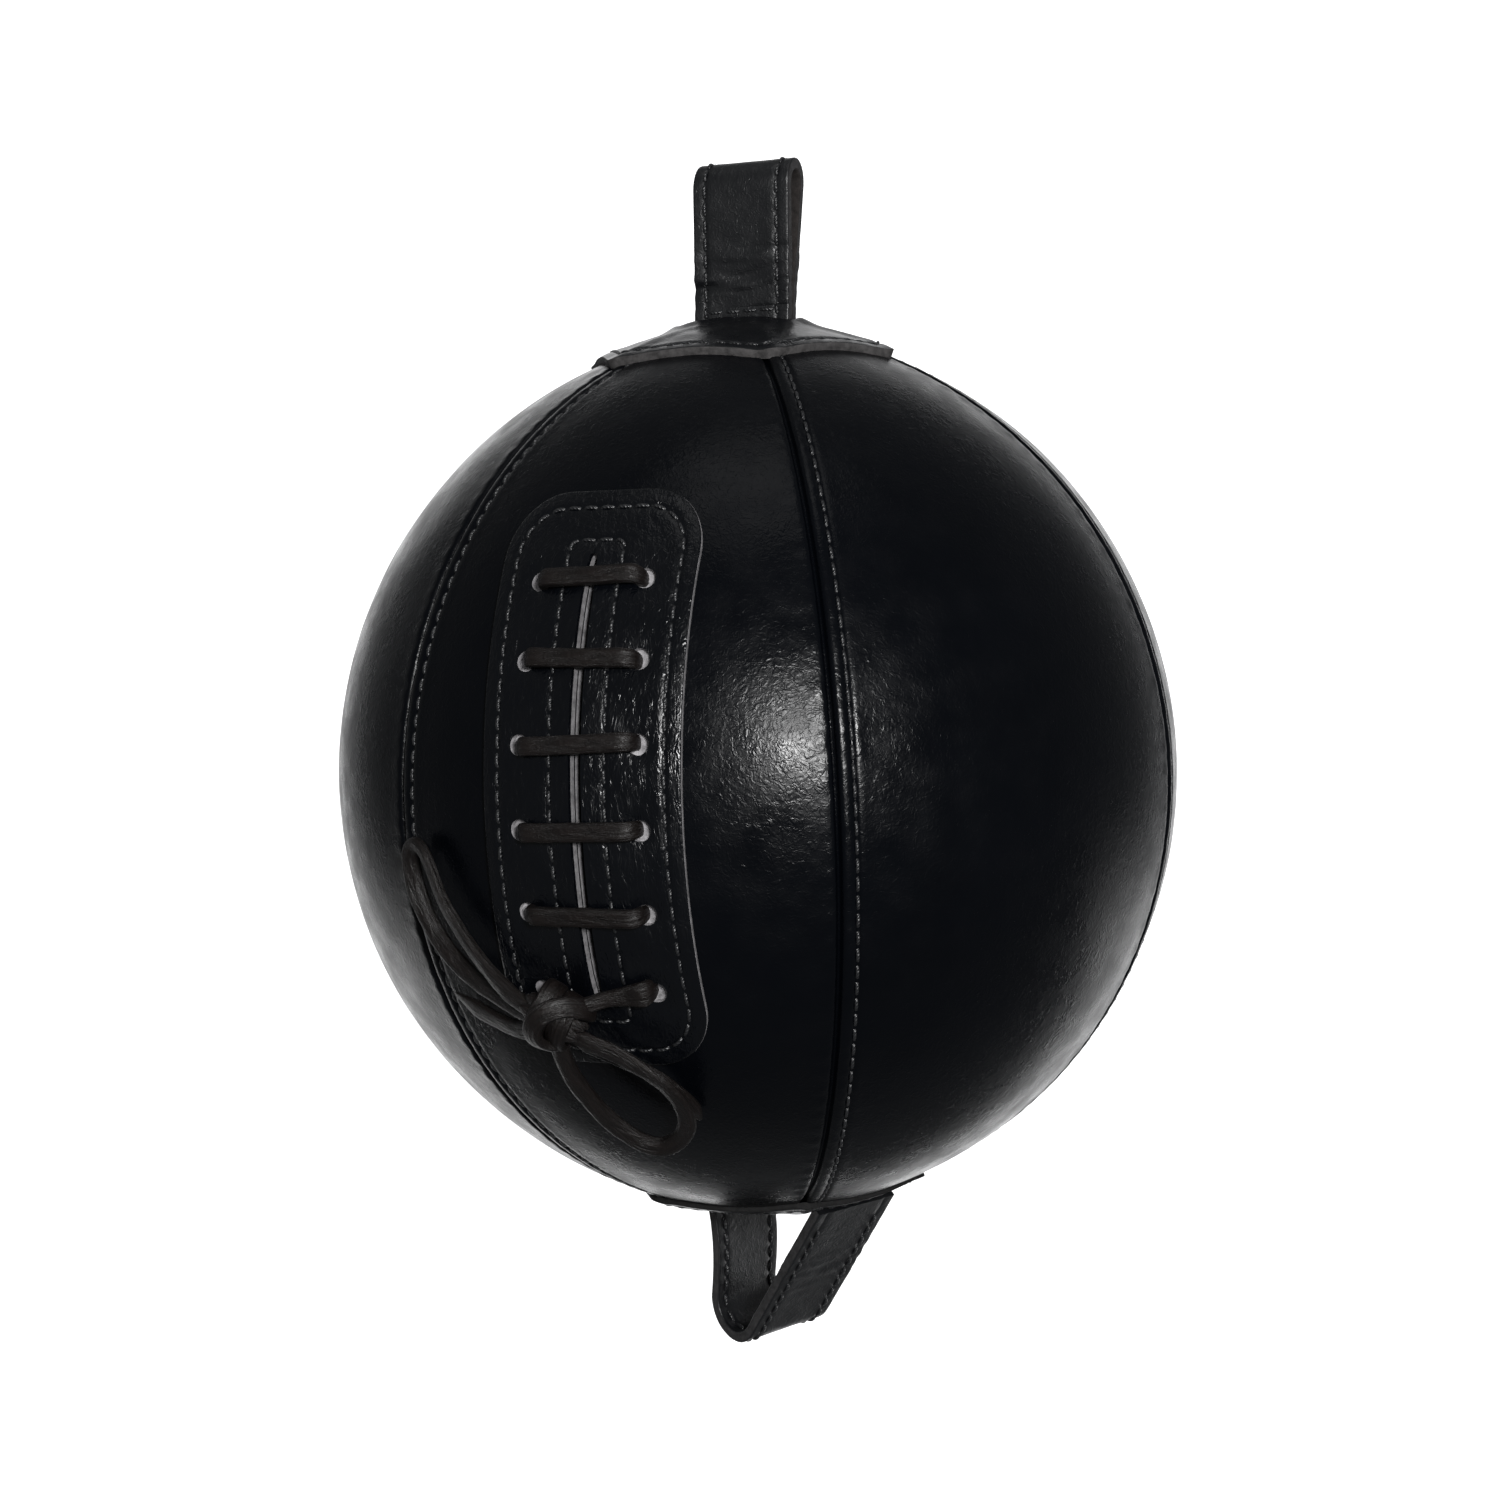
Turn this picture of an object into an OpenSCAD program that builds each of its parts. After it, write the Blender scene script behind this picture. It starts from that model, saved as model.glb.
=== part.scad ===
// Floor-to-ceiling boxing ball: six leather gores over a rubber bladder, laced up the front,
// with a leather loop at each pole for the cords that hold it.
// The origin is the bearing point inside the top loop, +Z is up and the laced placket faces -Y.

/* [Ball] */
// Diameter at the equator
ball_d = 210; // [190:1:240]
// Height from pole to pole
ball_h = 222; // [214:1:250]
// Thickness of the leather gores
leather_t = 1.6; // [1.2:0.1:2]
// Thickness of the canvas lining
lining_t = 0.6; // [0.4:0.1:1]
// Thickness of the bladder's rubber
bladder_t = 1; // [0.8:0.1:1.5]

/* [Placket] */
// Width of the leather placket around the slit
placket_w = 47; // [44:1:52]
// Height of the placket, measured straight across
placket_h = 126; // [120:1:130]
// Corner radius of the placket
placket_r = 14; // [10:1:18]
// Thickness of the placket
placket_t = 1.5; // [1:0.1:2]
// Direction the placket faces, from -Y towards +X
placket_az = -1; // [-3:0.5:3]
// Latitude of the placket's middle
placket_lat = 4.5; // [0:0.5:6]
// Width of the lacing slit
slit_w = 2; // [1.5:0.1:3]
// Height of the lacing slit
slit_h = 98; // [90:1:100]

/* [Lace] */
// Thickness of the lace
lace_d = 4.4; // [3.6:0.1:4.6]
// Diameter of the punched lace holes
lace_hole_d = 5.2; // [5:0.1:6]
// Angle from one lace row to the next
lace_row_angle = 9.5; // [9:0.1:10]
// Angle from the slit to each column of holes
lace_column_angle = 7.8; // [7:0.1:8.5]

/* [Loops] */
// Width of the loop straps
strap_w = 25; // [22:1:28]
// Thickness of one of the two plies of a strap
ply_t = 1.4; // [1.2:0.1:1.6]
// Rise of the top loop's outer face above the pole
top_rise = 40.5; // [38:0.5:44]
// Drop of the bottom loop's outer face below the pole
bottom_drop = 36; // [34:0.5:40]
// Inner radius at the top of the top loop
top_bend_r = 3.2; // [2.8:0.1:4]
// Inner radius at the low end of the bottom loop
bottom_bend_r = 7; // [6:0.1:8]
// Corner radius of the six-sided patches over the poles
patch_r = 40; // [38:1:42]
// Thickness of the patches
patch_t = 2.2; // [1.8:0.1:2.4]

/* [Hidden] */
$fn = 96;

gap = 0.3;                  // room left between pieces that move
thread_w = 0.8;             // width of a row of stitches
thread_t = 0.4;             // how far a row of stitches stands proud
topstitch_offset = 4;       // from a seam to its row of stitches
tail_t = 1;                 // skived end of a strap, under its patch
pole_hole_r = 8;            // the gores' tips end here, under the patches
back_flat = 0.05;           // depth of the flat at the middle of the back gore
big = 300;

// The ball's outline is an arc whose centre lies beyond the axis, so its poles are slightly pointed.
arc_off = (pow(ball_h / 2, 2) - pow(ball_d / 2, 2)) / ball_d;
arc_r = ball_d / 2 + arc_off;
pole_z = ball_h / 2;

strap_t = 2 * ply_t;
top_out_z = pole_z + top_rise;
bearing_z = top_out_z - strap_t;
top_bend_z = bearing_z - top_bend_r;
top_pinch_z = pole_z + 8.5;                                     // the moving loop ends here
top_flare = asin(top_bend_r / (top_bend_z - top_pinch_z + 2));  // its legs would meet 2 mm lower

bottom_az = 60;             // the bottom loop's strap faces this way, from -Y towards +X
bottom_bend_x = -4.7;       // centre of the low bend, across the loop
bottom_bend_z = bottom_bend_r + strap_t - pole_z - bottom_drop;
bottom_lean = 38;           // slope of the front leg from straight down
bottom_split_z = -pole_z - 11;                                  // moving loop below, roots above

lace_layer = leather_t + lining_t + lace_d / 2 + 0.1;           // depth of the lace inside the ball
tongue_depth = lace_layer + lace_d / 2 + 0.2;
tongue_t = 1;
bladder_depth = tongue_depth + tongue_t + 0.2;
rung_lift = placket_t + thread_t + lace_d / 2 + 0.2;
row_lat = [for (i = [0:5]) placket_lat + (2.5 - i) * lace_row_angle];
// The knot hides the lowest hole on the left
knot_lat = -20.5;
knot_az = -5.5;
knot_r = 7.6;
knot_lift = placket_t + knot_r + 0.3;

// Solid body of the ball, grown by h, with a small flat at each pole
module ball(h = 0, hole = 0.5) {
    rotate_extrude()
        intersection() {
            translate([-arc_off, 0]) circle(r = arc_r + h, $fn = 180);
            translate([hole, -big / 2]) square([big, big]);
        }
    if (hole == 0.5) cylinder(h = 2 * (pole_z + h) - 1, r = 0.5, center = true);
}

// Part of a shell between two depths, over an angle that starts at az
module shell(low, high, az = 0, angle = 360, hole = pole_hole_r) {
    rotate([0, 0, az - 90])
        rotate_extrude(angle = angle, $fn = 180)
            intersection() {
                difference() {
                    translate([-arc_off, 0]) circle(r = arc_r + high, $fn = 180);
                    translate([-arc_off, 0]) circle(r = arc_r + low, $fn = 180);
                }
                translate([hole, -big / 2]) square([big, big]);
            }
}

// Puts its children on the ball, their +Z outwards and their +Y towards the north
module on_ball(az, lat, lift = 0) {
    rotate([0, 0, az])
        translate([0, arc_off, 0])
            rotate([90 - lat, 0, 0])
                translate([0, 0, arc_r + lift])
                    children();
}

function on_ball_point(az, lat, lift) =
    let (rho = (arc_r + lift) * cos(lat) - arc_off)
    [rho * sin(az), -rho * cos(az), (arc_r + lift) * sin(lat)];

// Everything is drawn about the ball's centre and hung from the bearing point
module hang() {
    translate([0, 0, -bearing_z]) children();
}

// ---- gores ----

module slit_cut(extra = 0) {
    rotate([0, 0, placket_az])
        translate([-slit_w / 2 - extra, -big / 2, slit_mid_z() - slit_h / 2 - extra])
            cube([slit_w + 2 * extra, big / 2, slit_h + 2 * extra]);
}

function slit_mid_z() = arc_r * sin(placket_lat);

module lace_hole_cuts() {
    for (lat = row_lat, side = [-1, 1])
        on_ball(placket_az + side * lace_column_angle, lat, -12)
            cylinder(h = 24, d = lace_hole_d);
}

// One sixth of the ball. The front gore is open at the slit. The back one has a slight flat at its middle, whose
// edge marks how far out the gore reaches.
module gore(i, low, high) {
    difference() {
        shell(low, high, (i - 1) * 60 - 30, 60);
        if (i == 1) {
            slit_cut();
            lace_hole_cuts();
        }
        if (i == 4)
            translate([0, ball_d / 2 + high - back_flat + big / 2, 0]) cube(big, center = true);
    }
}

module panel(i) {
    color("#16171a") hang() gore(i, -leather_t, 0);
}

module lining(i) {
    color("#6d6455") hang() gore(i, -leather_t - lining_t, -leather_t);
}

// One row of stitches beside the seam on the left of gore i
module seam_thread(i) {
    color("#2a2a2c")
        hang()
            intersection() {
                shell(0, thread_t, (i - 1) * 60 - 30, 40, 38);
                rotate([0, 0, (i - 1) * 60 - 30])
                    translate([topstitch_offset - thread_w / 2, -big / 2, 10 - pole_z])
                        cube([thread_w, big / 2, 2 * pole_z - 20]);
            }
}

// ---- inside ----

module bladder() {
    color("#3a3230")
        hang() {
            difference() {
                union() {
                    shell(-bladder_depth - bladder_t, -bladder_depth, hole = 2);
                    for (s = [-1, 1])
                        translate([0, 0, s * (pole_z - bladder_depth - bladder_t / 2 - 0.2)])
                            cylinder(h = bladder_t, r = 2, center = true);
                }
                on_ball(placket_az, placket_lat, -bladder_depth - 6) cylinder(h = 12, d = 9);
            }
        }
}

// Rubber valve bonded into the bladder behind the slit, with a bore for the pump's needle
module bladder_valve() {
    color("#8a2f28")
        hang()
            difference() {
                union() {
                    on_ball(placket_az, placket_lat, -bladder_depth - 9) cylinder(h = 9, d = 9);
                    intersection() {
                        shell(-bladder_depth - bladder_t - 1.4, -bladder_depth - bladder_t);
                        on_ball(placket_az, placket_lat, -bladder_depth - 12) cylinder(h = 20, d = 20);
                    }
                }
                on_ball(placket_az, placket_lat, -bladder_depth - 20) cylinder(h = 40, d = 1.6);
            }
}

module tongue() {
    color("#2b2522")
        hang()
            intersection() {
                shell(-tongue_depth - tongue_t, -tongue_depth);
                placket_prism(placket_w - 3, placket_h - 12, placket_r - 2);
            }
}

// ---- placket ----

module rounded_rectangle(w, h, r) {
    square([w - 2 * r, h], center = true);
    square([w, h - 2 * r], center = true);
    for (x = [-1, 1], y = [-1, 1])
        translate([x * (w / 2 - r), y * (h / 2 - r)]) circle(r = r);
}

module placket_prism(w, h, r) {
    rotate([0, 0, placket_az])
        translate([0, 0, slit_mid_z()])
            rotate([90, 0, 0])
                linear_extrude(height = big / 2)
                    rounded_rectangle(w, h, r);
}

module placket() {
    color("#1b1c20")
        hang()
            difference() {
                intersection() {
                    shell(0, placket_t);
                    placket_prism(placket_w, placket_h, placket_r);
                }
                slit_cut();
                lace_hole_cuts();
            }
}

module stitched_outline(w, h, r) {
    difference() {
        intersection() {
            shell(placket_t, placket_t + thread_t);
            placket_prism(w + thread_w, h + thread_w, r + thread_w / 2);
        }
        placket_prism(w - thread_w, h - thread_w, r - thread_w / 2);
    }
}

module placket_thread() {
    color("#2a2a2c") hang() stitched_outline(placket_w - 7.6, placket_h - 7.6, placket_r - 3.8);
}

module slit_thread() {
    color("#2a2a2c") hang() stitched_outline(13, slit_h + 6.5, 2);
}

// ---- patches over the poles ----

module hexagon_prism(r) {
    cylinder(h = big / 2, r = r, $fn = 6);
}

module top_patch() {
    color("#1e1f22")
        hang()
            difference() {
                union() {
                    intersection() {
                        ball(patch_t);
                        hexagon_prism(patch_r);
                    }
                    translate([0, 0, pole_z]) cylinder(h = tail_t + patch_t, r1 = 16, r2 = 4);
                }
                ball();
                top_root_shape();
            }
}

module bottom_patch() {
    color("#1e1f22")
        hang()
            difference() {
                intersection() {
                    ball(patch_t);
                    mirror([0, 0, 1]) hexagon_prism(patch_r);
                }
                ball();
                bottom_root_shape();
            }
}

module patch_outline() {
    intersection() {
        shell(patch_t, patch_t + thread_t);
        difference() {
            hexagon_prism(patch_r - 3.6);
            hexagon_prism(patch_r - 3.6 - thread_w);
        }
    }
}

module top_patch_thread() {
    color("#2a2a2c") hang() patch_outline();
}

// The row stops where the strap's front leg comes through
module bottom_patch_thread() {
    color("#2a2a2c")
        hang()
            difference() {
                mirror([0, 0, 1]) patch_outline();
                bottom_root_shape();
            }
}

// ---- top loop: the strap's width lies along X ----

module top_root_shape() {
    difference() {
        union() {
            translate([-strap_w / 2, -strap_t, pole_z - 2])
                cube([strap_w, 2 * strap_t, top_pinch_z - 2 * gap - pole_z + 2]);
            intersection() {
                ball(tail_t);
                translate([-strap_w / 2, -24, pole_z - 10]) cube([strap_w, 48, 20]);
            }
        }
        ball();
    }
}

module top_strap_root() {
    color("#141416") hang() top_root_shape();
}

function arc(r, a, b, n = 24) = [for (i = [0:n]) let (t = a + (b - a) * i / n) r * [cos(t), sin(t)]];

// Where a straight leg that leans by lean, and runs on from a bend of radius r, reaches the height y
function leg_end(r, lean, y) = [(r + y * sin(lean)) / cos(lean), y];

function mirrored(q) = [-q[0], q[1]];

// The top strap between two depths from its inner face, seen along X, down to the end of its legs
module top_loop_outline(low, high) {
    inner = leg_end(top_bend_r + low, top_flare, top_pinch_z - top_bend_z);
    outer = leg_end(top_bend_r + high, top_flare, top_pinch_z - top_bend_z);
    polygon(concat(
        [outer],
        arc(top_bend_r + high, -top_flare, 180 + top_flare),
        [mirrored(outer), mirrored(inner)],
        arc(top_bend_r + low, 180 + top_flare, -top_flare),
        [inner]
    ));
}

module top_loop_slab(low, high, x, w) {
    translate([x - w / 2, 0, top_bend_z])
        rotate([90, 0, 90])
            linear_extrude(height = w)
                top_loop_outline(low, high);
}

module top_strap_outer() {
    color("#141416") hang() top_loop_slab(ply_t, strap_t, 0, strap_w);
}

module top_strap_inner() {
    color("#26221f") hang() top_loop_slab(0, ply_t, 0, strap_w);
}

module top_strap_thread() {
    color("#2a2a2c")
        hang()
            for (x = [-1, 1])
                top_loop_slab(strap_t, strap_t + thread_t, x * (strap_w / 2 - 3.2), thread_w);
}

// Short row across the root, which pinches the two legs together
module top_anchor_thread() {
    color("#2a2a2c")
        hang()
            for (y = [-1, 1])
                translate([0, y * (strap_t + thread_t / 2), pole_z + tail_t + patch_t + 0.7])
                    cube([16, thread_t, thread_w], center = true);
}

// ---- bottom loop: its strap's width lies across the direction bottom_az ----

module across_bottom() {
    rotate([0, 0, bottom_az - 90]) children();
}

// The bottom strap below the split, between two depths from its inner face
module bottom_loop_outline(low, high) {
    inner = bottom_bend_r + low;
    outer = bottom_bend_r + high;
    top = bottom_split_z - bottom_bend_z;
    polygon(concat(
        [[-outer, top]],
        arc(outer, 180, 360 - bottom_lean),
        [leg_end(outer, bottom_lean, top), leg_end(inner, bottom_lean, top)],
        arc(inner, 360 - bottom_lean, 180),
        [[-inner, top]]
    ));
}

// Its two legs above the split
module bottom_root_outline() {
    inner = bottom_bend_r;
    outer = bottom_bend_r + strap_t;
    low = bottom_split_z - bottom_bend_z + gap;
    high = 10 - pole_z - bottom_bend_z;
    translate([-outer, low]) square([strap_t, high - low]);
    polygon([
        leg_end(inner, bottom_lean, low),
        leg_end(outer, bottom_lean, low),
        leg_end(outer, bottom_lean, high),
        leg_end(inner, bottom_lean, high)
    ]);
}

module bottom_slab(w, x) {
    across_bottom()
        translate([bottom_bend_x, w / 2 + x, bottom_bend_z])
            rotate([90, 0, 0])
                linear_extrude(height = w)
                    children();
}

// The two legs above the split, up to the ball, and their tails under the patch
module bottom_root_shape() {
    difference() {
        union() {
            bottom_slab(strap_w, 0) bottom_root_outline();
            intersection() {
                ball(tail_t);
                across_bottom()
                    for (x = [[-30, -12.5], [26.5, 33]])
                        translate([x[0], -strap_w / 2, -pole_z - 2])
                            cube([x[1] - x[0], strap_w, 20]);
            }
        }
        ball();
    }
}

module bottom_strap_roots() {
    color("#141416") hang() bottom_root_shape();
}

module bottom_strap_outer() {
    color("#141416") hang() bottom_slab(strap_w, 0) bottom_loop_outline(ply_t, strap_t);
}

module bottom_strap_inner() {
    color("#26221f") hang() bottom_slab(strap_w, 0) bottom_loop_outline(0, ply_t);
}

module bottom_strap_thread() {
    color("#2a2a2c")
        hang()
            for (x = [-1, 1])
                bottom_slab(thread_w, x * (strap_w / 2 - 3.2))
                    bottom_loop_outline(strap_t, strap_t + thread_t);
}

// ---- lace ----

function unit(v) = v / norm(v);

// Sweeps an eight-sided tube of diameter d along the points p
module tube(p, d, sides = 8) {
    n = len(p);
    t = [for (i = [0:n - 1]) unit(p[min(i + 1, n - 1)] - p[max(i - 1, 0)])];
    start = unit(cross(t[0], abs(t[0][2]) < 0.8 ? [0, 0, 1] : [1, 0, 0]));
    // carries the first normal along the path, so that the tube doesn't twist
    normals = [for (i = 0, u = start; i < n; i = i + 1, u = i < n ? unit(u - (u * t[i]) * t[i]) : u) u];
    rings = [for (i = [0:n - 1], k = [0:sides - 1])
        p[i] + d / 2 * (cos(k * 360 / sides) * normals[i] + sin(k * 360 / sides) * cross(t[i], normals[i]))];
    sides_faces = [for (i = [0:n - 2], k = [0:sides - 1])
        let (a = i * sides + k, b = i * sides + (k + 1) % sides)
        [b, a, a + sides, b + sides]];
    polyhedron(
        points = rings,
        faces = concat(
            [[for (k = [0:sides - 1]) k]],
            sides_faces,
            [[for (k = [0:sides - 1]) n * sides - 1 - k]]
        ),
        convexity = 10
    );
}

// One crossing of the leather at a hole, between the placket's face and the layer inside
function hole_points(side, row, down) =
    let (lifts = down ? [rung_lift, 0, -lace_layer] : [-lace_layer, 0, rung_lift])
    [for (lift = lifts) on_ball_point(placket_az + side * lace_column_angle, row_lat[row], lift)];

// Rung at a row, entered on one side, left on the other and taken down to the next hole
function rung_points(from, row) = concat(
    hole_points(from, row, false),
    [on_ball_point(placket_az, row_lat[row], rung_lift + 0.5)],
    hole_points(-from, row, true)
);

function inside_run(side_a, row_a, side_b, row_b) = [for (f = [0.3, 0.7])
    on_ball_point(
        placket_az + (side_a * (1 - f) + side_b * f) * lace_column_angle,
        row_lat[row_a] * (1 - f) + row_lat[row_b] * f,
        -lace_layer
    )];

// The long run inside passes outside the right column of holes
function long_run() = [for (f = [0.06:0.11:0.94])
    on_ball_point(placket_az + lace_column_angle + 3.6, row_lat[5] * (1 - f) + row_lat[0] * f, -lace_layer)];

ladder_route = concat(
    [for (az = [-3, 0, 3]) on_ball_point(placket_az + az, row_lat[5], rung_lift + 0.5)],
    hole_points(1, 5, true),
    long_run(),
    rung_points(1, 0),
    inside_run(-1, 0, -1, 1),
    rung_points(-1, 1),
    inside_run(1, 1, 1, 2),
    rung_points(1, 2),
    inside_run(-1, 2, -1, 3),
    rung_points(-1, 3),
    inside_run(1, 3, 1, 4),
    rung_points(1, 4),
    inside_run(-1, 4, -1, 5),
    hole_points(-1, 5, false)
);

// Free lengths of the lace, as azimuth, latitude and lift over the ball
bow_right_route = [
    [-2, -23, 9], [1, -24.6, 9], [4.2, -26.6, 8.5], [6.8, -29, 8], [8, -31.5, 7.6], [8.2, -34.5, 7.4],
    [6.8, -37.2, 7.2], [4, -39.4, 7], [1, -39.6, 7], [-1.6, -37.4, 7], [-3.6, -34.4, 7],
    [-5, -31.2, 7.5], [-5.6, -28.4, 8], [-5.6, -26, 9]
];
bow_left_route = [
    [-9, -19, 9], [-12.4, -17.2, 7.5], [-15.6, -15, 6], [-18.4, -12, 5.5], [-20.6, -8.8, 5],
    [-22.2, -5.4, 4.5],
    [-23.6, -3, 4], [-25.2, -2.8, 3.2], [-25.8, -5.2, 2.8], [-25.2, -9, 2.8], [-23.4, -13, 3],
    [-20.4, -16.4, 3.5], [-16.6, -18.8, 4], [-12.4, -20.4, 5.2], [-9.4, -21.4, 6.4]
];
lace_end_right_route = [
    [-4.6, -25.2, 6], [-1, -27.6, 4.4], [3, -30.6, 3.8], [6.6, -34.2, 2.4], [9.2, -37.4, 2.4]
];
lace_end_left_route = [
    [-9.2, -22.4, 7.5], [-12.6, -23.4, 5.6], [-16.6, -23.2, 4], [-20.6, -22.2, 3.2], [-24.6, -21, 2.8]
];

function on_ball_route(r) = [for (q = r) on_ball_point(q[0], q[1], q[2])];

module lace_ladder() {
    color("#2b1d18") hang() tube(ladder_route, lace_d);
}

module lace_knot() {
    color("#2b1d18")
        hang()
            on_ball(knot_az, knot_lat, knot_lift) {
                for (y = [-1, 1])
                    translate([0, y * 2.4, 0]) sphere(r = knot_r);
                rotate([90, 0, 0]) cylinder(h = 4.8, r = knot_r, center = true);
            }
}

module bow_loop_right() {
    color("#2b1d18") hang() tube(on_ball_route(bow_right_route), lace_d);
}

module bow_loop_left() {
    color("#2b1d18") hang() tube(on_ball_route(bow_left_route), lace_d);
}

module lace_end_right() {
    color("#2b1d18") hang() tube(on_ball_route(lace_end_right_route), lace_d);
}

module lace_end_left() {
    color("#2b1d18") hang() tube(on_ball_route(lace_end_left_route), lace_d);
}

// ---- every node ----

panel(1);  // panel_1
panel(2);  // panel_2
panel(3);  // panel_3
panel(4);  // panel_4
panel(5);  // panel_5
panel(6);  // panel_6
lining(1);  // lining_1
lining(2);  // lining_2
lining(3);  // lining_3
lining(4);  // lining_4
lining(5);  // lining_5
lining(6);  // lining_6
seam_thread(1);  // seam_thread_1
seam_thread(2);  // seam_thread_2
seam_thread(3);  // seam_thread_3
seam_thread(4);  // seam_thread_4
seam_thread(5);  // seam_thread_5
seam_thread(6);  // seam_thread_6
bladder();
bladder_valve();
tongue();
placket();
placket_thread();
slit_thread();
top_patch();
bottom_patch();
top_patch_thread();
bottom_patch_thread();
top_strap_root();
top_strap_outer();
top_strap_inner();
top_strap_thread();
top_anchor_thread();
bottom_strap_roots();
bottom_strap_outer();
bottom_strap_inner();
bottom_strap_thread();
lace_ladder();
lace_knot();
bow_loop_right();
bow_loop_left();
lace_end_right();
lace_end_left();
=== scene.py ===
"""Looks for the floor-to-ceiling boxing ball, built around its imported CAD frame.

Shapes are worked out in millimetres about the ball's centre and written into the row frame in metres.
Directions on the ball are given as azimuth (from -Y towards +X) and latitude, both in degrees.
"""

import math
from bisect import bisect_right

import bmesh
import bpy
from mathutils import Matrix, Vector, noise


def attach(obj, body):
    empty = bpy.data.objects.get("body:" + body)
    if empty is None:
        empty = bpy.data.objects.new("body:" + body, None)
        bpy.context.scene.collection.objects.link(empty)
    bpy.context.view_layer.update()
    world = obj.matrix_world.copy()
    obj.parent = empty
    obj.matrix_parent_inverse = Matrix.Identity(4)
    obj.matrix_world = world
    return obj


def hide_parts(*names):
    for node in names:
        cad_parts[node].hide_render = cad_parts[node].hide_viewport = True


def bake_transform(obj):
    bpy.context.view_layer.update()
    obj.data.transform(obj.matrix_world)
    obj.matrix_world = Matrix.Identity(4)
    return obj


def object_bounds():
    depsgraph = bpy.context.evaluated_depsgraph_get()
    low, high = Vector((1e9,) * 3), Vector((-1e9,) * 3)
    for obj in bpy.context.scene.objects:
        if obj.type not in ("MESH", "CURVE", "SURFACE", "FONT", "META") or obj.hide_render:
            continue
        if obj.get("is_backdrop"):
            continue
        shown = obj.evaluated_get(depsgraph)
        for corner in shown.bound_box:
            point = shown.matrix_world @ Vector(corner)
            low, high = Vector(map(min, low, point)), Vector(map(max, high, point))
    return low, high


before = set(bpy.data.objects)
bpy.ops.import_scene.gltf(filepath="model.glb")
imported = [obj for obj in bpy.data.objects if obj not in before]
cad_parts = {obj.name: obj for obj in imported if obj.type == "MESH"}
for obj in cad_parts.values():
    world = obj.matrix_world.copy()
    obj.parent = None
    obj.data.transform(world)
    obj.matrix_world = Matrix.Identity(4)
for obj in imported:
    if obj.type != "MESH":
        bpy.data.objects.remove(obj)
cad_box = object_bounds()

# ---- sizes, in mm and degrees ----

# The ball is an arc turned about its axis. The arc's centre lies ARC_OFF beyond the axis, so the ball is a
# little taller than it is wide.
BALL_R = 105
POLE_Z = 111
ARC_OFF = (POLE_Z**2 - BALL_R**2) / (2 * BALL_R)
ARC_R = BALL_R + ARC_OFF
BEARING_Z = 148.7  # the row frame's origin, inside the top loop, over the ball's centre

GORES = 6
GORE_ANGLE = 360 / GORES
LEATHER = 1.6
TOPSTITCH = 4.0  # from a seam to the stitches on its right
STITCH_PITCH = 4.1
THREAD_D = 0.85
THREAD_RISE = 0.24  # of a stitch's middle line over the leather

PLACKET_AZ = -1
PLACKET_LAT = 4.5
PLACKET_MID = ARC_R * math.sin(math.radians(PLACKET_LAT))
PLACKET_W = 47
PLACKET_H = 126
PLACKET_R = 14
PLACKET_T = 1.5
PLACKET_ROW = 3.8  # from the placket's outline to its stitches
SLIT_W = 2.8
SLIT_H = 98
SLIT_BOX_W = 13
SLIT_BOX_H = 104.5
SLIT_BOX_R = 2

HOLE_AZ = 7.8
HOLE_D = 4.8
LACE_ROWS = 6
ROW_ANGLE = 9.5
ROWS = [PLACKET_LAT + (LACE_ROWS / 2 - 0.5 - i) * ROW_ANGLE for i in range(LACE_ROWS)]
LACE_W = 4.6
LACE_T = 2.6

PATCH_R = 40
PATCH_ROW = 3.5  # from the patch's edge to its stitches
TOP_PATCH_T = 1.9
BOTTOM_PATCH_T = 1.2

STRAP_W = 25
STRAP_ROW = 3.1  # from the strap's edge to its stitches
PLY = 1.4
TOP_BEND_R = 3.2
BOTTOM_AZ = 60
BOTTOM_BEND_R = 7

OUTLINE_STEP = 0.9  # between points round the placket and the patches


def smoothstep(a, b, x):
    """Rises smoothly from 0 at a to 1 at b."""
    t = min(1.0, max(0.0, (x - a) / (b - a)))
    return t * t * (3 - 2 * t)


def bump(x, width):
    """A bell of height 1 around x = 0."""
    return math.exp(-((x / width) ** 2))


def rounded_edge(d, r):
    """How far a rounded edge of radius r drops at the distance d inside it."""
    return 0.0 if d >= r else r - math.sqrt(max(0.0, r * r - (r - d) ** 2))


def wobble(x, y=0.0, z=0.0):
    """Smooth noise from -1 to 1, the same on every run."""
    return noise.noise(Vector((x, y, z)))


def row_frame(p):
    """From millimetres about the ball's centre to metres in the row frame."""
    return Vector((p[0], p[1], p[2] - BEARING_Z)) / 1000


def on_ball(az, lat, lift=0.0):
    """The point in that direction, lift mm over the ball."""
    a, b = math.radians(az), math.radians(lat)
    rho = (ARC_R + lift) * math.cos(b) - ARC_OFF
    return Vector((rho * math.sin(a), -rho * math.cos(a), (ARC_R + lift) * math.sin(b)))


def outward(az, lat):
    """The ball's normal in that direction."""
    a, b = math.radians(az), math.radians(lat)
    return Vector((math.cos(b) * math.sin(a), -math.cos(b) * math.cos(a), math.sin(b)))


def radius_at(lat):
    """Distance of the ball's surface from its axis."""
    return ARC_R * math.cos(math.radians(lat)) - ARC_OFF


def above(x, y, lift, side=1):
    """The point at x, y and lift mm over the ball, on its upper side (1) or its lower one (-1)."""
    rho = math.hypot(x, y)
    lat = math.degrees(math.acos(min(1.0, (rho + ARC_OFF) / ARC_R)))
    az = math.degrees(math.atan2(x, -y))
    return on_ball(az, side * lat, lift)


# ---- meshes ----


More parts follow.
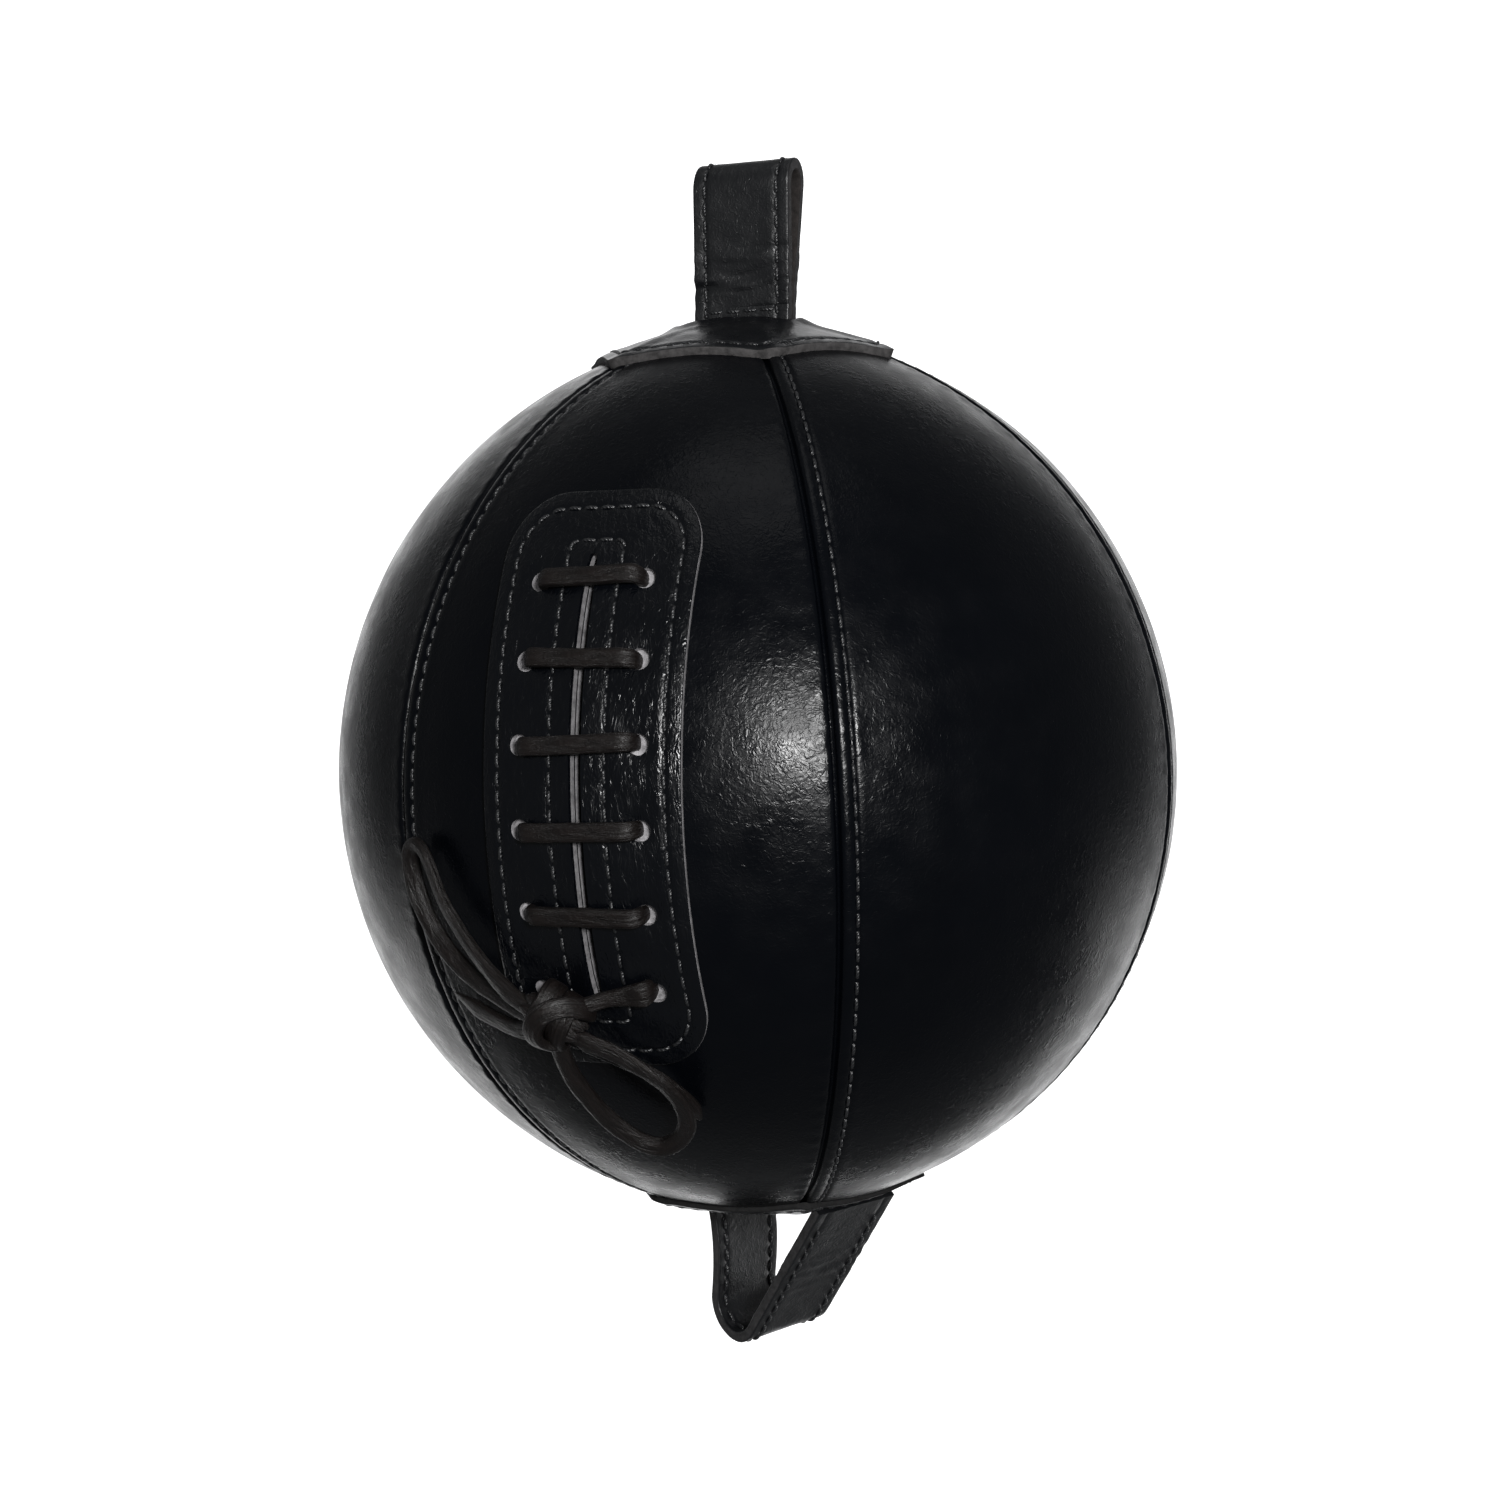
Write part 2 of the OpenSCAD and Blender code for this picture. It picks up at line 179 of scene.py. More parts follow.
def make_mesh(name, points, faces, materials, slots=None, uvs=None, smooth=True):
    mesh = bpy.data.meshes.new(name)
    mesh.from_pydata([row_frame(p) for p in points], [], faces)
    for material in materials:
        mesh.materials.append(material)
    if slots:
        mesh.polygons.foreach_set("material_index", slots)
    if uvs:
        layer = mesh.uv_layers.new(name="UVMap")
        for loop in mesh.loops:
            layer.data[loop.index].uv = uvs[loop.vertex_index]
    bm = bmesh.new()
    bm.from_mesh(mesh)
    bmesh.ops.recalc_face_normals(bm, faces=bm.faces)
    bm.to_mesh(mesh)
    bm.free()
    mesh.polygons.foreach_set("use_smooth", [smooth] * len(mesh.polygons))
    mesh.update()
    obj = bpy.data.objects.new(name, mesh)
    bpy.context.scene.collection.objects.link(obj)
    return obj


def grid(name, rows, materials, closed=False, looped=False, slot_of=None, uv_of=None, caps=False):
    """A mesh through rows of points.

    closed joins each row's end to its start, looped joins the last row to the first, and caps fills the first
    and the last row. slot_of and uv_of give a face's material and a point's UV from its row and place in it.
    """
    count = len(rows[0])
    points = [p for row in rows for p in row]
    faces, slots = [], []
    for i in range(len(rows) if looped else len(rows) - 1):
        j = (i + 1) % len(rows)
        for k in range(count if closed else count - 1):
            m = (k + 1) % count
            faces.append((i * count + k, i * count + m, j * count + m, j * count + k))
            slots.append(slot_of(i, k) if slot_of else 0)
    if caps:
        for i in (0, len(rows) - 1):
            faces.append(tuple(i * count + k for k in range(count)))
            slots.append(0)
    uvs = None
    if uv_of:
        uvs = [uv_of(i, k) for i in range(len(rows)) for k in range(count)]
    return make_mesh(name, points, faces, materials, slots, uvs)


def sharpen(obj, angle=40):
    """Marks the edges where two faces meet at more than angle as sharp."""
    bm = bmesh.new()
    bm.from_mesh(obj.data)
    for edge in bm.edges:
        if len(edge.link_faces) == 2 and edge.calc_face_angle(0) > math.radians(angle):
            edge.smooth = False
    bm.to_mesh(obj.data)
    bm.free()


def smooth_line(points, step=1.0):
    """Catmull-Rom curve through the points, sampled about every step."""
    points = [Vector(p) for p in points]
    padded = [2 * points[0] - points[1], *points, 2 * points[-1] - points[-2]]
    out = []
    for a, b, c, d in zip(padded, padded[1:], padded[2:], padded[3:]):
        linear = c - a
        square = 2 * a - 5 * b + 4 * c - d
        cubic = 3 * b - a - 3 * c + d
        count = max(1, round((c - b).length / step))
        for i in range(count):
            t = i / count
            out.append(0.5 * (2 * b + linear * t + square * t * t + cubic * t * t * t))
    return [*out, points[-1]]


def lengths(line):
    """How far along the line each of its points is."""
    total = [0.0]
    for a, b in zip(line, line[1:]):
        total.append(total[-1] + (b - a).length)
    return total


def along(line, i):
    """The line's direction at its point i."""
    return (line[min(i + 1, len(line) - 1)] - line[max(i - 1, 0)]).normalized()


class Line:
    """A line over a surface, with the surface's normal at each point."""

    def __init__(self, points, normals):
        self.points, self.normals = points, normals
        self.at = lengths(points)

    def sample(self, s):
        """The point s mm along the line, and the normal there."""
        s = min(max(s, 0.0), self.at[-1] - 1e-6)
        i = bisect_right(self.at, s) - 1
        f = (s - self.at[i]) / (self.at[i + 1] - self.at[i])
        point = self.points[i].lerp(self.points[i + 1], f)
        normal = self.normals[i].lerp(self.normals[i + 1], f).normalized()
        return point, normal


def place(obj, body, slot, *nodes):
    """Puts a finished piece on its body and hides the CAD nodes it stands for. slot is not used."""
    if body:
        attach(obj, body)
    if nodes:
        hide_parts(*nodes)
    return obj


# A stitch's sections: how far from its first hole to its last, how high in THREAD_RISE, and its thickness
STITCH = [
    (0.0, -0.75, 0.72), (0.1, -0.2, 1.0), (0.28, 0.6, 1.0), (0.5, 1.0, 1.0),
    (0.72, 0.6, 1.0), (0.9, -0.2, 1.0), (1.0, -0.75, 0.72),
]


def stitches(name, lines, body):
    """Rows of thread: each stitch comes out of one hole and goes down into the next."""
    points, faces, uvs = [], [], []
    sides = 8
    hole = 0.1  # share of the pitch that a hole takes at each end of a stitch
    flatness = 0.82
    for line in lines:
        count = max(1, round(line.at[-1] / STITCH_PITCH))
        step = line.at[-1] / count
        for i in range(count):
            first = len(points)
            lean = 0.12 * wobble(i * 1.7, 3.1, line.at[-1])
            for f, rise, thickness in STITCH:
                s = (i + hole + (1 - 2 * hole) * f) * step
                point, normal = line.sample(s)
                ahead, _ = line.sample(s + 0.2)
                forward = (ahead - point).normalized()
                across = forward.cross(normal).normalized()
                centre = point + normal * (THREAD_RISE * rise) + across * (lean * (f - 0.5) * 2)
                radius = THREAD_D / 2 * thickness
                for k in range(sides):
                    t = math.tau * k / sides
                    points.append(centre + radius * (math.cos(t) * across + flatness * math.sin(t) * normal))
                    uvs.append((k / sides * THREAD_D * 3, f * step))
            for r in range(len(STITCH) - 1):
                for k in range(sides):
                    a, b = first + r * sides + k, first + r * sides + (k + 1) % sides
                    faces.append((a, b, b + sides, a + sides))
            for r in (0, len(STITCH) - 1):
                faces.append(tuple(first + r * sides + k for k in range(sides)))
    return place(make_mesh(name, points, faces, [THREAD], uvs=uvs), body, "thread")


def sweep(name, line, references, widths, thicknesses, ridges=3, taper=0.0):
    """Lace along a line, with a flattened section that has soft corners and is creased along its length.

    references are the directions that the lace's width stays square to. With taper, each end narrows to a
    quarter over most of that length.
    """
    sides = 20
    around = 11  # mm round the lace, for its UVs
    at = lengths(line)
    rows = []
    for i, p in enumerate(line):
        forward = along(line, i)
        across = forward.cross(references[i]).normalized()
        up = across.cross(forward).normalized()
        end = min(at[i], at[-1] - at[i])
        shrink = 1.0 if taper == 0 else min(1.0, 0.25 + end / taper)
        row = []
        for k in range(sides):
            t = math.tau * k / sides
            c, s = math.cos(t), math.sin(t)
            x = math.copysign(abs(c) ** 0.75, c) * widths[i] / 2
            y = math.copysign(abs(s) ** 0.8, s) * thicknesses[i] / 2
            crease = 1 - 0.07 * (0.5 + 0.5 * math.cos(ridges * t + 0.3 * wobble(at[i] / 6, 1.0)))
            rough = 1 + 0.06 * wobble(at[i] / 2.5, c * 1.5, s * 1.5)
            row.append(p + (x * across + y * up) * crease * rough * shrink)
        rows.append(row)
    return grid(name, rows, [LACE], closed=True, caps=True, uv_of=lambda i, k: (k / sides * around, at[i]))


# ---- materials ----


class Nodes:
    """Short names for building a material's node tree."""

    def __init__(self, name):
        self.material = bpy.data.materials.new(name)
        self.material.use_nodes = True
        self.tree = self.material.node_tree
        self.shader = self.tree.nodes["Principled BSDF"]

    def add(self, kind, inputs=None, **settings):
        node = self.tree.nodes.new(kind)
        for key, value in settings.items():
            setattr(node, key, value)
        for key, value in (inputs or {}).items():
            self.link(value, node.inputs[key])
        return node

    def link(self, value, socket):
        if isinstance(value, bpy.types.NodeSocket):
            self.tree.links.new(value, socket)
        else:
            socket.default_value = value

    def set(self, **values):
        """Sets the shader's inputs, whose names are written with underscores."""
        for key, value in values.items():
            self.link(value, self.shader.inputs[key.replace("_", " ")])

    def math(self, operation, a, b=0.0):
        return self.add("ShaderNodeMath", {0: a, 1: b}, operation=operation).outputs[0]

    def coordinates(self, use_uv, stretch=(1, 1, 1)):
        """Coordinates in mm. The UVs are already in mm, and the object's are in metres."""
        source = self.add("ShaderNodeTexCoord").outputs["UV" if use_uv else "Object"]
        per_unit = 1 if use_uv else 1000
        scale = [per_unit * s for s in stretch]
        return self.add("ShaderNodeMapping", {"Vector": source, "Scale": scale}).outputs[0]

    def noise(self, coordinates, scale, detail=3.0, roughness=0.5, distortion=0.0):
        """Noise with about scale blobs per mm."""
        inputs = {
            "Vector": coordinates,
            "Scale": scale,
            "Detail": detail,
            "Roughness": roughness,
            "Distortion": distortion,
        }
        return self.add("ShaderNodeTexNoise", inputs).outputs["Fac"]

    def cells(self, coordinates, scale):
        """Distance from the middle of cells, with about scale cells per mm."""
        return self.add("ShaderNodeTexVoronoi", {"Vector": coordinates, "Scale": scale}).outputs["Distance"]

    def between(self, factor, a, b):
        """A colour from a at factor 0 to b at 1."""
        node = self.add("ShaderNodeMix", data_type="RGBA")
        self.link(factor, node.inputs["Factor"])
        self.link((*a, 1), node.inputs["A"])
        self.link((*b, 1), node.inputs["B"])
        return node.outputs["Result"]

    def ramp(self, value, low, high, a=0.0, b=1.0):
        """From a at value low to b at value high, and level outside them."""
        inputs = {"Value": value, "From Min": low, "From Max": high, "To Min": a, "To Max": b}
        return self.add("ShaderNodeMapRange", inputs).outputs["Result"]

    def bump(self, height, depth_mm, under=None):
        """Relief depth_mm deep, on top of the relief under it."""
        inputs = {"Height": height, "Distance": depth_mm / 1000, "Strength": 1.0}
        if under:
            inputs["Normal"] = under
        return self.add("ShaderNodeBump", inputs).outputs["Normal"]


def leather(name, color, use_uv=False, roughness=0.3, creases=1.0, shine=0.25, stretch=(1, 1, 1)):
    """Finished leather: pores, fine crossing creases and a slightly uneven polish."""
    n = Nodes(name)
    place_mm = n.coordinates(use_uv)
    patchy = n.noise(place_mm, 0.035, 3)
    waves = n.noise(n.coordinates(use_uv, stretch), 0.2, 2, 0.5, 0.4)
    fine = n.noise(n.coordinates(use_uv, stretch), 0.62, 2, 0.55, 0.8)
    crossed = n.math("ABSOLUTE", n.math("SUBTRACT", fine, 0.5))
    pores = n.ramp(n.cells(place_mm, 1.9), 0.0, 0.5)
    normal = n.bump(waves, 0.05 * creases)
    normal = n.bump(crossed, 0.13 * creases, normal)
    normal = n.bump(pores, 0.006, normal)
    darker = tuple(c * 0.6 for c in color)
    n.set(
        Base_Color=n.between(patchy, darker, color),
        Roughness=n.ramp(n.noise(place_mm, 0.12, 4), 0.3, 0.7, roughness - 0.06, roughness + 0.09),
        Specular_IOR_Level=shine,
        Normal=normal,
    )
    return n.material


def raw_edge(name, color, use_uv=False):
    """The cut edge of leather: matt, fibrous and uneven in tone."""
    n = Nodes(name)
    place_mm = n.coordinates(use_uv)
    tone = n.noise(place_mm, 0.5, 5, 0.7)
    fibres = n.noise(place_mm, 3.0, 4, 0.7, 0.4)
    darker = tuple(c * 0.35 for c in color)
    normal = n.bump(fibres, 0.12, n.bump(tone, 0.2))
    n.set(
        Base_Color=n.between(n.ramp(tone, 0.32, 0.62), darker, color),
        Roughness=n.ramp(fibres, 0.3, 0.7, 0.75, 0.95),
        Specular_IOR_Level=0.25,
        Normal=normal,
    )
    return n.material


def lace_leather(name, color):
    """Lace: waxed, with fine creases along its length, and painted shade that darkens their low parts."""
    n = Nodes(name)
    place_mm = n.coordinates(True, (1.6, 0.2, 1))
    creases = n.noise(place_mm, 0.8, 5, 0.6, 0.5)
    # painted shade: the colour goes to darker in the low parts of the creases
    grain = n.noise(n.coordinates(True), 1.8, 3)
    darker = tuple(c * 0.45 for c in color)
    normal = n.bump(grain, 0.08, n.bump(creases, 0.8))
    n.set(
        Base_Color=n.between(n.ramp(creases, 0.35, 0.65), darker, color),
        Roughness=n.ramp(grain, 0.3, 0.7, 0.36, 0.55),
        Specular_IOR_Level=0.3,
        Normal=normal,
    )
    return n.material


def twisted_thread(name, color):
    """Waxed thread, with its twist, and painted shade in the grooves between its turns."""
    n = Nodes(name)
    place_mm = n.coordinates(True)
    inputs = {"Vector": place_mm, "Scale": 0.55, "Distortion": 0.6}
    twist = n.add("ShaderNodeTexWave", inputs, bands_direction="DIAGONAL").outputs["Fac"]
    # painted shade: the colour halves in the low parts of the twist
    n.set(
        Base_Color=n.between(twist, tuple(c * 0.5 for c in color), color),
        Roughness=n.ramp(twist, 0.0, 1.0, 0.5, 0.34),
        Specular_IOR_Level=0.6,
        Normal=n.bump(twist, 0.1),
    )
    return n.material


def plain(name, color, roughness, grain_mm):
    """Rubber or canvas inside the ball."""
    n = Nodes(name)
    place_mm = n.coordinates(False)
    grain = n.noise(place_mm, 1 / grain_mm, 4)
    n.set(
        Base_Color=n.between(grain, tuple(c * 0.7 for c in color), color),
        Roughness=n.ramp(grain, 0.3, 0.7, roughness - 0.05, roughness + 0.1),
        Normal=n.bump(grain, 0.1),
    )
    return n.material


# Colours are linear. The leathers are nearly black: what is seen of them is mostly the light they reflect.
BALL_LEATHER = leather("ball_leather", (0.0010, 0.0014, 0.0024), roughness=0.26, creases=1.3, shine=0.13)
PLACKET_LEATHER = leather(
    "placket_leather",
    (0.0012, 0.0016, 0.0026),
    roughness=0.25,
    creases=3.0,
    shine=0.25,
    stretch=(1.2, 1.2, 0.45),
)
PATCH_LEATHER = leather("patch_leather", (0.0030, 0.0034, 0.0046), creases=1.6, shine=0.35)
STRAP_LEATHER = leather(
    "strap_leather",
    (0.0030, 0.0034, 0.0044),
    use_uv=True,
    roughness=0.4,
    creases=2,
    shine=0.55,
)
FLESH_SIDE = raw_edge("flesh_side", (0.020, 0.017, 0.016), use_uv=True)
BALL_EDGE = raw_edge("ball_edge", (0.010, 0.0098, 0.0100))
PLACKET_EDGE = raw_edge("placket_edge", (0.17, 0.165, 0.17))
PATCH_EDGE = raw_edge("patch_edge", (0.060, 0.057, 0.057))
STRAP_EDGE = raw_edge("strap_edge", (0.036, 0.035, 0.036))
PALE_CORE = raw_edge("pale_core", (0.34, 0.33, 0.34))
LACE = lace_leather("lace_leather", (0.0050, 0.0031, 0.0026))
THREAD = twisted_thread("thread", (0.011, 0.0115, 0.013))

# ---- camera: fitted to the ball's outline and the corners of its loops ----

AZIMUTH = math.radians(20.9)
ELEVATION = math.radians(6.17)
ROLL = math.radians(2.57)
CAMERA_DISTANCE = 662.4

back = Vector(
    (
        math.sin(AZIMUTH) * math.cos(ELEVATION),
        -math.cos(AZIMUTH) * math.cos(ELEVATION),
        math.sin(ELEVATION),
    )
)
right = Vector((math.cos(AZIMUTH), math.sin(AZIMUTH), 0))
up = back.cross(right)
camera_right = right * math.cos(ROLL) - up * math.sin(ROLL)
camera_up = right * math.sin(ROLL) + up * math.cos(ROLL)

camera = bpy.data.objects.new("camera", bpy.data.cameras.new("camera"))
bpy.context.scene.collection.objects.link(camera)
camera.data.lens = 62.2
camera.data.sensor_width = 36
camera.data.shift_x = -0.0014
camera.data.shift_y = 0.0105
camera.matrix_world = Matrix.Translation(row_frame(back * CAMERA_DISTANCE)) @ (
    Matrix((camera_right, camera_up, back)).transposed().to_4x4()
)
bpy.context.scene.camera = camera

# ---- the lace's free parts ----


def route(places):
    """A smooth line over the ball through (azimuth, latitude, lift), and the ball's normals along it."""
    line = smooth_line([on_ball(*q) for q in places])
    normals = []
    for p in line:
        lat = math.degrees(math.atan2(p.z, math.hypot(p.x, p.y) + ARC_OFF))
        normals.append(outward(math.degrees(math.atan2(p.x, -p.y)), lat))
    return line, normals


def cord_piece(name, places, node, seed, width=LACE_W, thickness=LACE_T, lean=0.0, taper=0.0):
    """A free part of the lace. lean is how far its width turns on edge at the middle, in radians."""
    line, normals = route(places)
    at = lengths(line)
    tilted = []
    for i, normal in enumerate(normals):
        angle = lean * math.sin(math.pi * at[i] / at[-1]) + 0.25 * wobble(at[i] / 14, seed)
        tilted.append(Matrix.Rotation(angle, 3, along(line, i)) @ normal)
    widths = [width * (1 + 0.07 * wobble(s / 5, 2.0)) for s in at]
    obj = sweep(name, line, tilted, widths, [thickness] * len(line), taper=taper)
    place(obj, "ball", "lace", node)
    row_frame(line[0])
    [row_frame(p) for p in line]


cord_piece(
    "lace_bow_right",
    [
        (-3.4, -22.6, 8.4), (-1, -23.4, 9), (1.6, -24.8, 8.6), (4.6, -27, 8.2), (7, -29.4, 7.8),
        (8.5, -32.2, 7.5), (8.6, -35.2, 7.3), (7, -37.8, 7.1), (4.2, -39.4, 7), (1.2, -39.2, 7),
        (-1.6, -37.2, 7), (-3.6, -34.4, 7.2), (-4.9, -31.2, 7.6), (-5.6, -28.2, 8.2),
        (-5.8, -25.4, 8.6), (-5.8, -23, 8.6),
    ],
    "bow_loop_right",
    seed=14,
    lean=0.5,
)
cord_piece(
    "lace_bow_left",
    [
        (-8, -19.4, 9), (-10.6, -18.2, 8.4), (-13.4, -16.4, 7), (-16.2, -14, 5.8), (-18.6, -11.2, 5),
        (-20.6, -8.2, 4.6), (-22, -5.2, 4.2), (-23.3, -3.1, 3.9), (-24.9, -2.5, 3.5), (-26.3, -3.6, 3.2),
        (-26.6, -6.2, 3), (-25.8, -9.6, 3), (-24, -13, 3.1), (-21.2, -16, 3.5), (-17.6, -18.2, 4.2),
        (-13.6, -19.8, 5.2), (-10.2, -20.8, 6.4), (-8, -21, 7),
    ],
    "bow_loop_left",
    seed=13,
    lean=-0.5,
)
cord_piece(
    "lace_tip_right",
    [
        (-4.6, -23.6, 6.6), (-2, -25.2, 5.6), (1.6, -27.4, 4.6), (5.2, -30.2, 3.6), (8, -33.8, 2.8),
        (9.6, -37.6, 2.2),
    ],
    "lace_end_right",
    seed=14,
    width=4.2,
    thickness=2.4,
    taper=5,
)
cord_piece(
    "lace_tip_left",
    [
        (-7.4, -21.6, 7), (-10, -23, 6), (-13.4, -23.6, 4.8), (-17, -23.2, 3.6), (-20.8, -22.2, 2.8),
        (-24.6, -20.8, 2.2),
    ],
    "lace_end_left",
    seed=13,
    width=5,
    thickness=2.2,
    taper=9,
)

# ---- the lace through its holes, and the knot ----


def placket_point(x, z, lift):
    """The point lift mm over the ball, x across and z up the placket, square to the direction it faces."""
    lat = math.degrees(math.asin((z + PLACKET_MID) / ARC_R))
    rho = radius_at(lat)
    az = PLACKET_AZ + math.degrees(math.asin(x / rho))
    return on_ball(az, lat, lift)


def hole_x(row):
    return radius_at(ROWS[row]) * math.sin(math.radians(HOLE_AZ))


def row_z(row):
    return ARC_R * math.sin(math.radians(ROWS[row])) - PLACKET_MID


def rung(row, from_knot, skew, sag):
    """One crossing of the slit, which ends in the right hole and starts in the left one, or in the knot."""
    z = row_z(row)
    x = hole_x(row) - 1.1
    out_of_hole = [(x + 0.2, -4.6), (x + 0.1, -1.2), (x - 0.2, 1.6), (x - 1.5, 3.2), (x - 4.5, 3.35)]
    if from_knot:
        start = [(-5.5, 8.0), (-1.0, 7.0), (3.0, 4.6), (7.0, 3.5)]
    else:
        start = [*((-px, lift) for px, lift in out_of_hole), (0, 3.3 - sag)]
    points = [placket_point(px, z + skew * px / 14, lift) for px, lift in [*start, *out_of_hole[::-1]]]
    north = placket_point(0, z + 0.5, 0) - placket_point(0, z - 0.5, 0)
    return smooth_line(points, 0.7), north.normalized()


def join(name, objects):
    """Makes one piece of several meshes."""
    bpy.ops.object.select_all(action="DESELECT")
    for o in objects:
        o.select_set(True)
    bpy.context.view_layer.objects.active = objects[0]
    bpy.ops.object.join()
    objects[0].name = name
    objects[0].data.name = name
    return objects[0]


RUNG_SKEWS = [0.35, -0.3, 0.5, 0.25, -0.15, 0.9]
RUN_DEPTH = 4.4


def lace_ladder():
    """The rungs over the slit, and the runs behind the placket that join them."""
    parts = []
    for row, skew in enumerate(RUNG_SKEWS):
        from_knot = row == LACE_ROWS - 1
        line, north = rung(row, from_knot, skew, 0.15 + 0.1 * (row % 3))
        at = lengths(line)
        widths, thicknesses = [], []
        for s in at:
            if from_knot:
                wide, thick = 0.85 + 0.5 * bump(at[-1] - s - 8, 4.5), 0.85
            else:
                # squeezed where it goes through its holes
                wide, thick = 0.8 + 0.2 * smoothstep(3.0, 8.0, min(s, at[-1] - s)), 1.0
            widths.append(LACE_W * wide * (1 + 0.05 * wobble(s / 4, row)))
            thicknesses.append(LACE_T * thick * (1 + 0.08 * wobble(s / 5, row, 4)))
        # the width runs north and south, so the reference is what is square to it and to the line
        references = [north.cross(along(line, i)).normalized() for i in range(len(line))]
        parts.append(sweep("rung", line, references, widths, thicknesses, ridges=4))
    for row in range(LACE_ROWS - 1):
        side = -1 if row % 2 == 0 else 1
        x = side * (hole_x(row) - 1)
        heights = [row_z(row) * (1 - f) + row_z(row + 1) * f for f in (0, 0.3, 0.7, 1)]
        line = smooth_line([placket_point(x, z, -RUN_DEPTH) for z in heights], 2)
        count = len(line)
        normals = [outward(PLACKET_AZ, ROWS[row])] * count
        parts.append(sweep("run", line, normals, [LACE_W] * count, [LACE_T] * count))
    return place(join("lace_rungs", parts), "ball", "lace", "lace_ladder")


lace_ladder()

KNOT_AZ, KNOT_LAT, KNOT_LIFT = -5.5, -20.5, 8.6
KNOT_SLOPE = math.radians(-33)
# The strand that crosses over the wraps: along their axis, to its side and outward
OVER = [
    (6.5, 3.2, -4.5), (5.0, 5.6, -1.0), (1.6, 6.6, 2.6), (-1.6, 4.0, 5.4),
    (-2.2, 0.0, 6.2), (-0.4, -3.6, 5.2), (2.6, -5.8, 1.6), (4.2, -6.2, -3.0),
]


def knot():
    """Wraps of lace round the roots of the bow, with the crossing that holds them on top."""
    centre = on_ball(KNOT_AZ, KNOT_LAT, KNOT_LIFT)
    out = outward(KNOT_AZ, KNOT_LAT)
    east = Vector((0, 0, 1)).cross(out).normalized()
    north = out.cross(east).normalized()
    axis = math.cos(KNOT_SLOPE) * east + math.sin(KNOT_SLOPE) * north
    side = out.cross(axis).normalized()
    parts = []

    def wrap(first, last, start, end, radius):
        """A turn round the axis between two angles, moving along it from start to end."""
        line, references = [], []
        steps = 90
        squash = 0.85
        sink = 1.2
        for i in range(steps + 1):
            f = i / steps
            t = math.radians(first + (last - first) * f)
            r = radius * (1 + 0.05 * wobble(f * 4, 6))
            radial = math.cos(t) * side + squash * math.sin(t) * out
            line.append(centre + axis * (start + (end - start) * f) + radial * r + out * -sink)
            references.append(radial.normalized())
        widths = [5.2 * (1 + 0.08 * wobble(i / 9, 7.0)) for i in range(steps + 1)]
        parts.append(sweep("wrap", line, references, widths, [2.5] * (steps + 1), ridges=4))

    def strand(places, step):
        """A line through (along the axis, to its side, outward)."""
        return smooth_line([centre + axis * a + side * b + out * c for a, b, c in places], step)

    # two turns round the bow's roots, then a third strand that crosses over them
    wrap(-160, 200, -3.4, -2.0, 6.0)
    wrap(-150, 215, 1.4, 3.2, 5.7)
    line = strand(OVER, 0.6)
    references = [((p - centre).normalized() + out * 0.4).normalized() for p in line]
    parts.append(sweep("over", line, references, [5.0] * len(line), [2.5] * len(line), ridges=4))
    # the bow's strands inside the wraps
    for b, c in ((1.8, 0.6), (-1.8, 0.2), (0.2, -2.6), (0.4, 2.6)):
        line = strand([(a, b * spread, c) for a, spread in ((-7.5, 1.2), (0, 0.8), (7.5, 1.2))], 1)
        parts.append(sweep("core", line, [out] * len(line), [4.4] * len(line), [3.2] * len(line), taper=4))
    return place(join("knot", parts), "ball", "lace", "lace_knot")


knot()

# ---- gores ----


SEAM_DEPTH = 1.5
SEAM_FLOOR = 0.3  # half the width of the seam's flat floor


def right_of_seam(s, t):
    """The leather's height s mm to the right of a seam and t mm along it."""
    fold = 1.3 + 0.15 * wobble(t / 7, 5)
    h = -SEAM_DEPTH * rounded_edge(max(0.0, s - SEAM_FLOOR), fold) / fold
    # the band between the fold and the stitches stands up, and each stitch pulls down a ditch beside it
    h += 0.34 * math.sin(math.pi * min(1.0, s / TOPSTITCH)) if s < TOPSTITCH else 0
    pull = 0.5 + 0.5 * math.cos(math.tau * t / STITCH_PITCH)
    h -= (0.30 + 0.16 * pull) * bump(s - TOPSTITCH, 0.55)
    h += 0.15 * bump(s - 5.6, 1.3)
    h += 0.10 * (pull - 0.5) * bump(s - TOPSTITCH + 0.9, 1.3)
    h += 0.10 * wobble(t / 2.3, s / 5, 1) * bump(s - 3, 4)
    return h


def left_of_seam(s, t):
    """The same on the other side, where the folded edge is puckered between its hidden stitches."""
    pucker = wobble(t / 3.2, 9) + 0.5 * math.cos(math.tau * t / 5.0)
    fold = 1.15 + 0.3 * pucker
    h = -SEAM_DEPTH * rounded_edge(max(0.0, s - SEAM_FLOOR), fold) / fold
    h += 0.14 * bump(s - 2.2, 1.4) * (1 + pucker)
    h += 0.06 * wobble(t / 2.6, s / 5, 2) * bump(s, 5)
    return h


# How far from a gore's left and right seams its points lie: close together where the relief is fine
FROM_LEFT = [0, 0.08, 0.25, 0.5, 0.85, 1.25, 1.8, 2.5, 3.1, 3.5, 3.75, 4, 4.25, 4.5, 4.9, 5.4, 6.2, 7.2, 8.6]
FROM_RIGHT = [0, 0.08, 0.25, 0.5, 0.8, 1.2, 1.7, 2.4, 3.4, 5, 7]
FULL_SPACING_W = 36  # a gore narrower than this has its points closer together
MIDDLE = 26  # steps between the points near the left seam and those near the right one
GORE_ROW_STEP = 0.95
LAST_LAT = 82.6  # where the gores end, under the patches
LAST_STITCH_LAT = 70.0


def seam_of(number):
    """Azimuth of a gore's left seam."""
    return (number - 1) * GORE_ANGLE - GORE_ANGLE / 2


def seam_azimuth(az, lat, s):
    """Azimuth of the point s mm to the right of a seam."""
    return az + math.degrees(s / radius_at(lat))


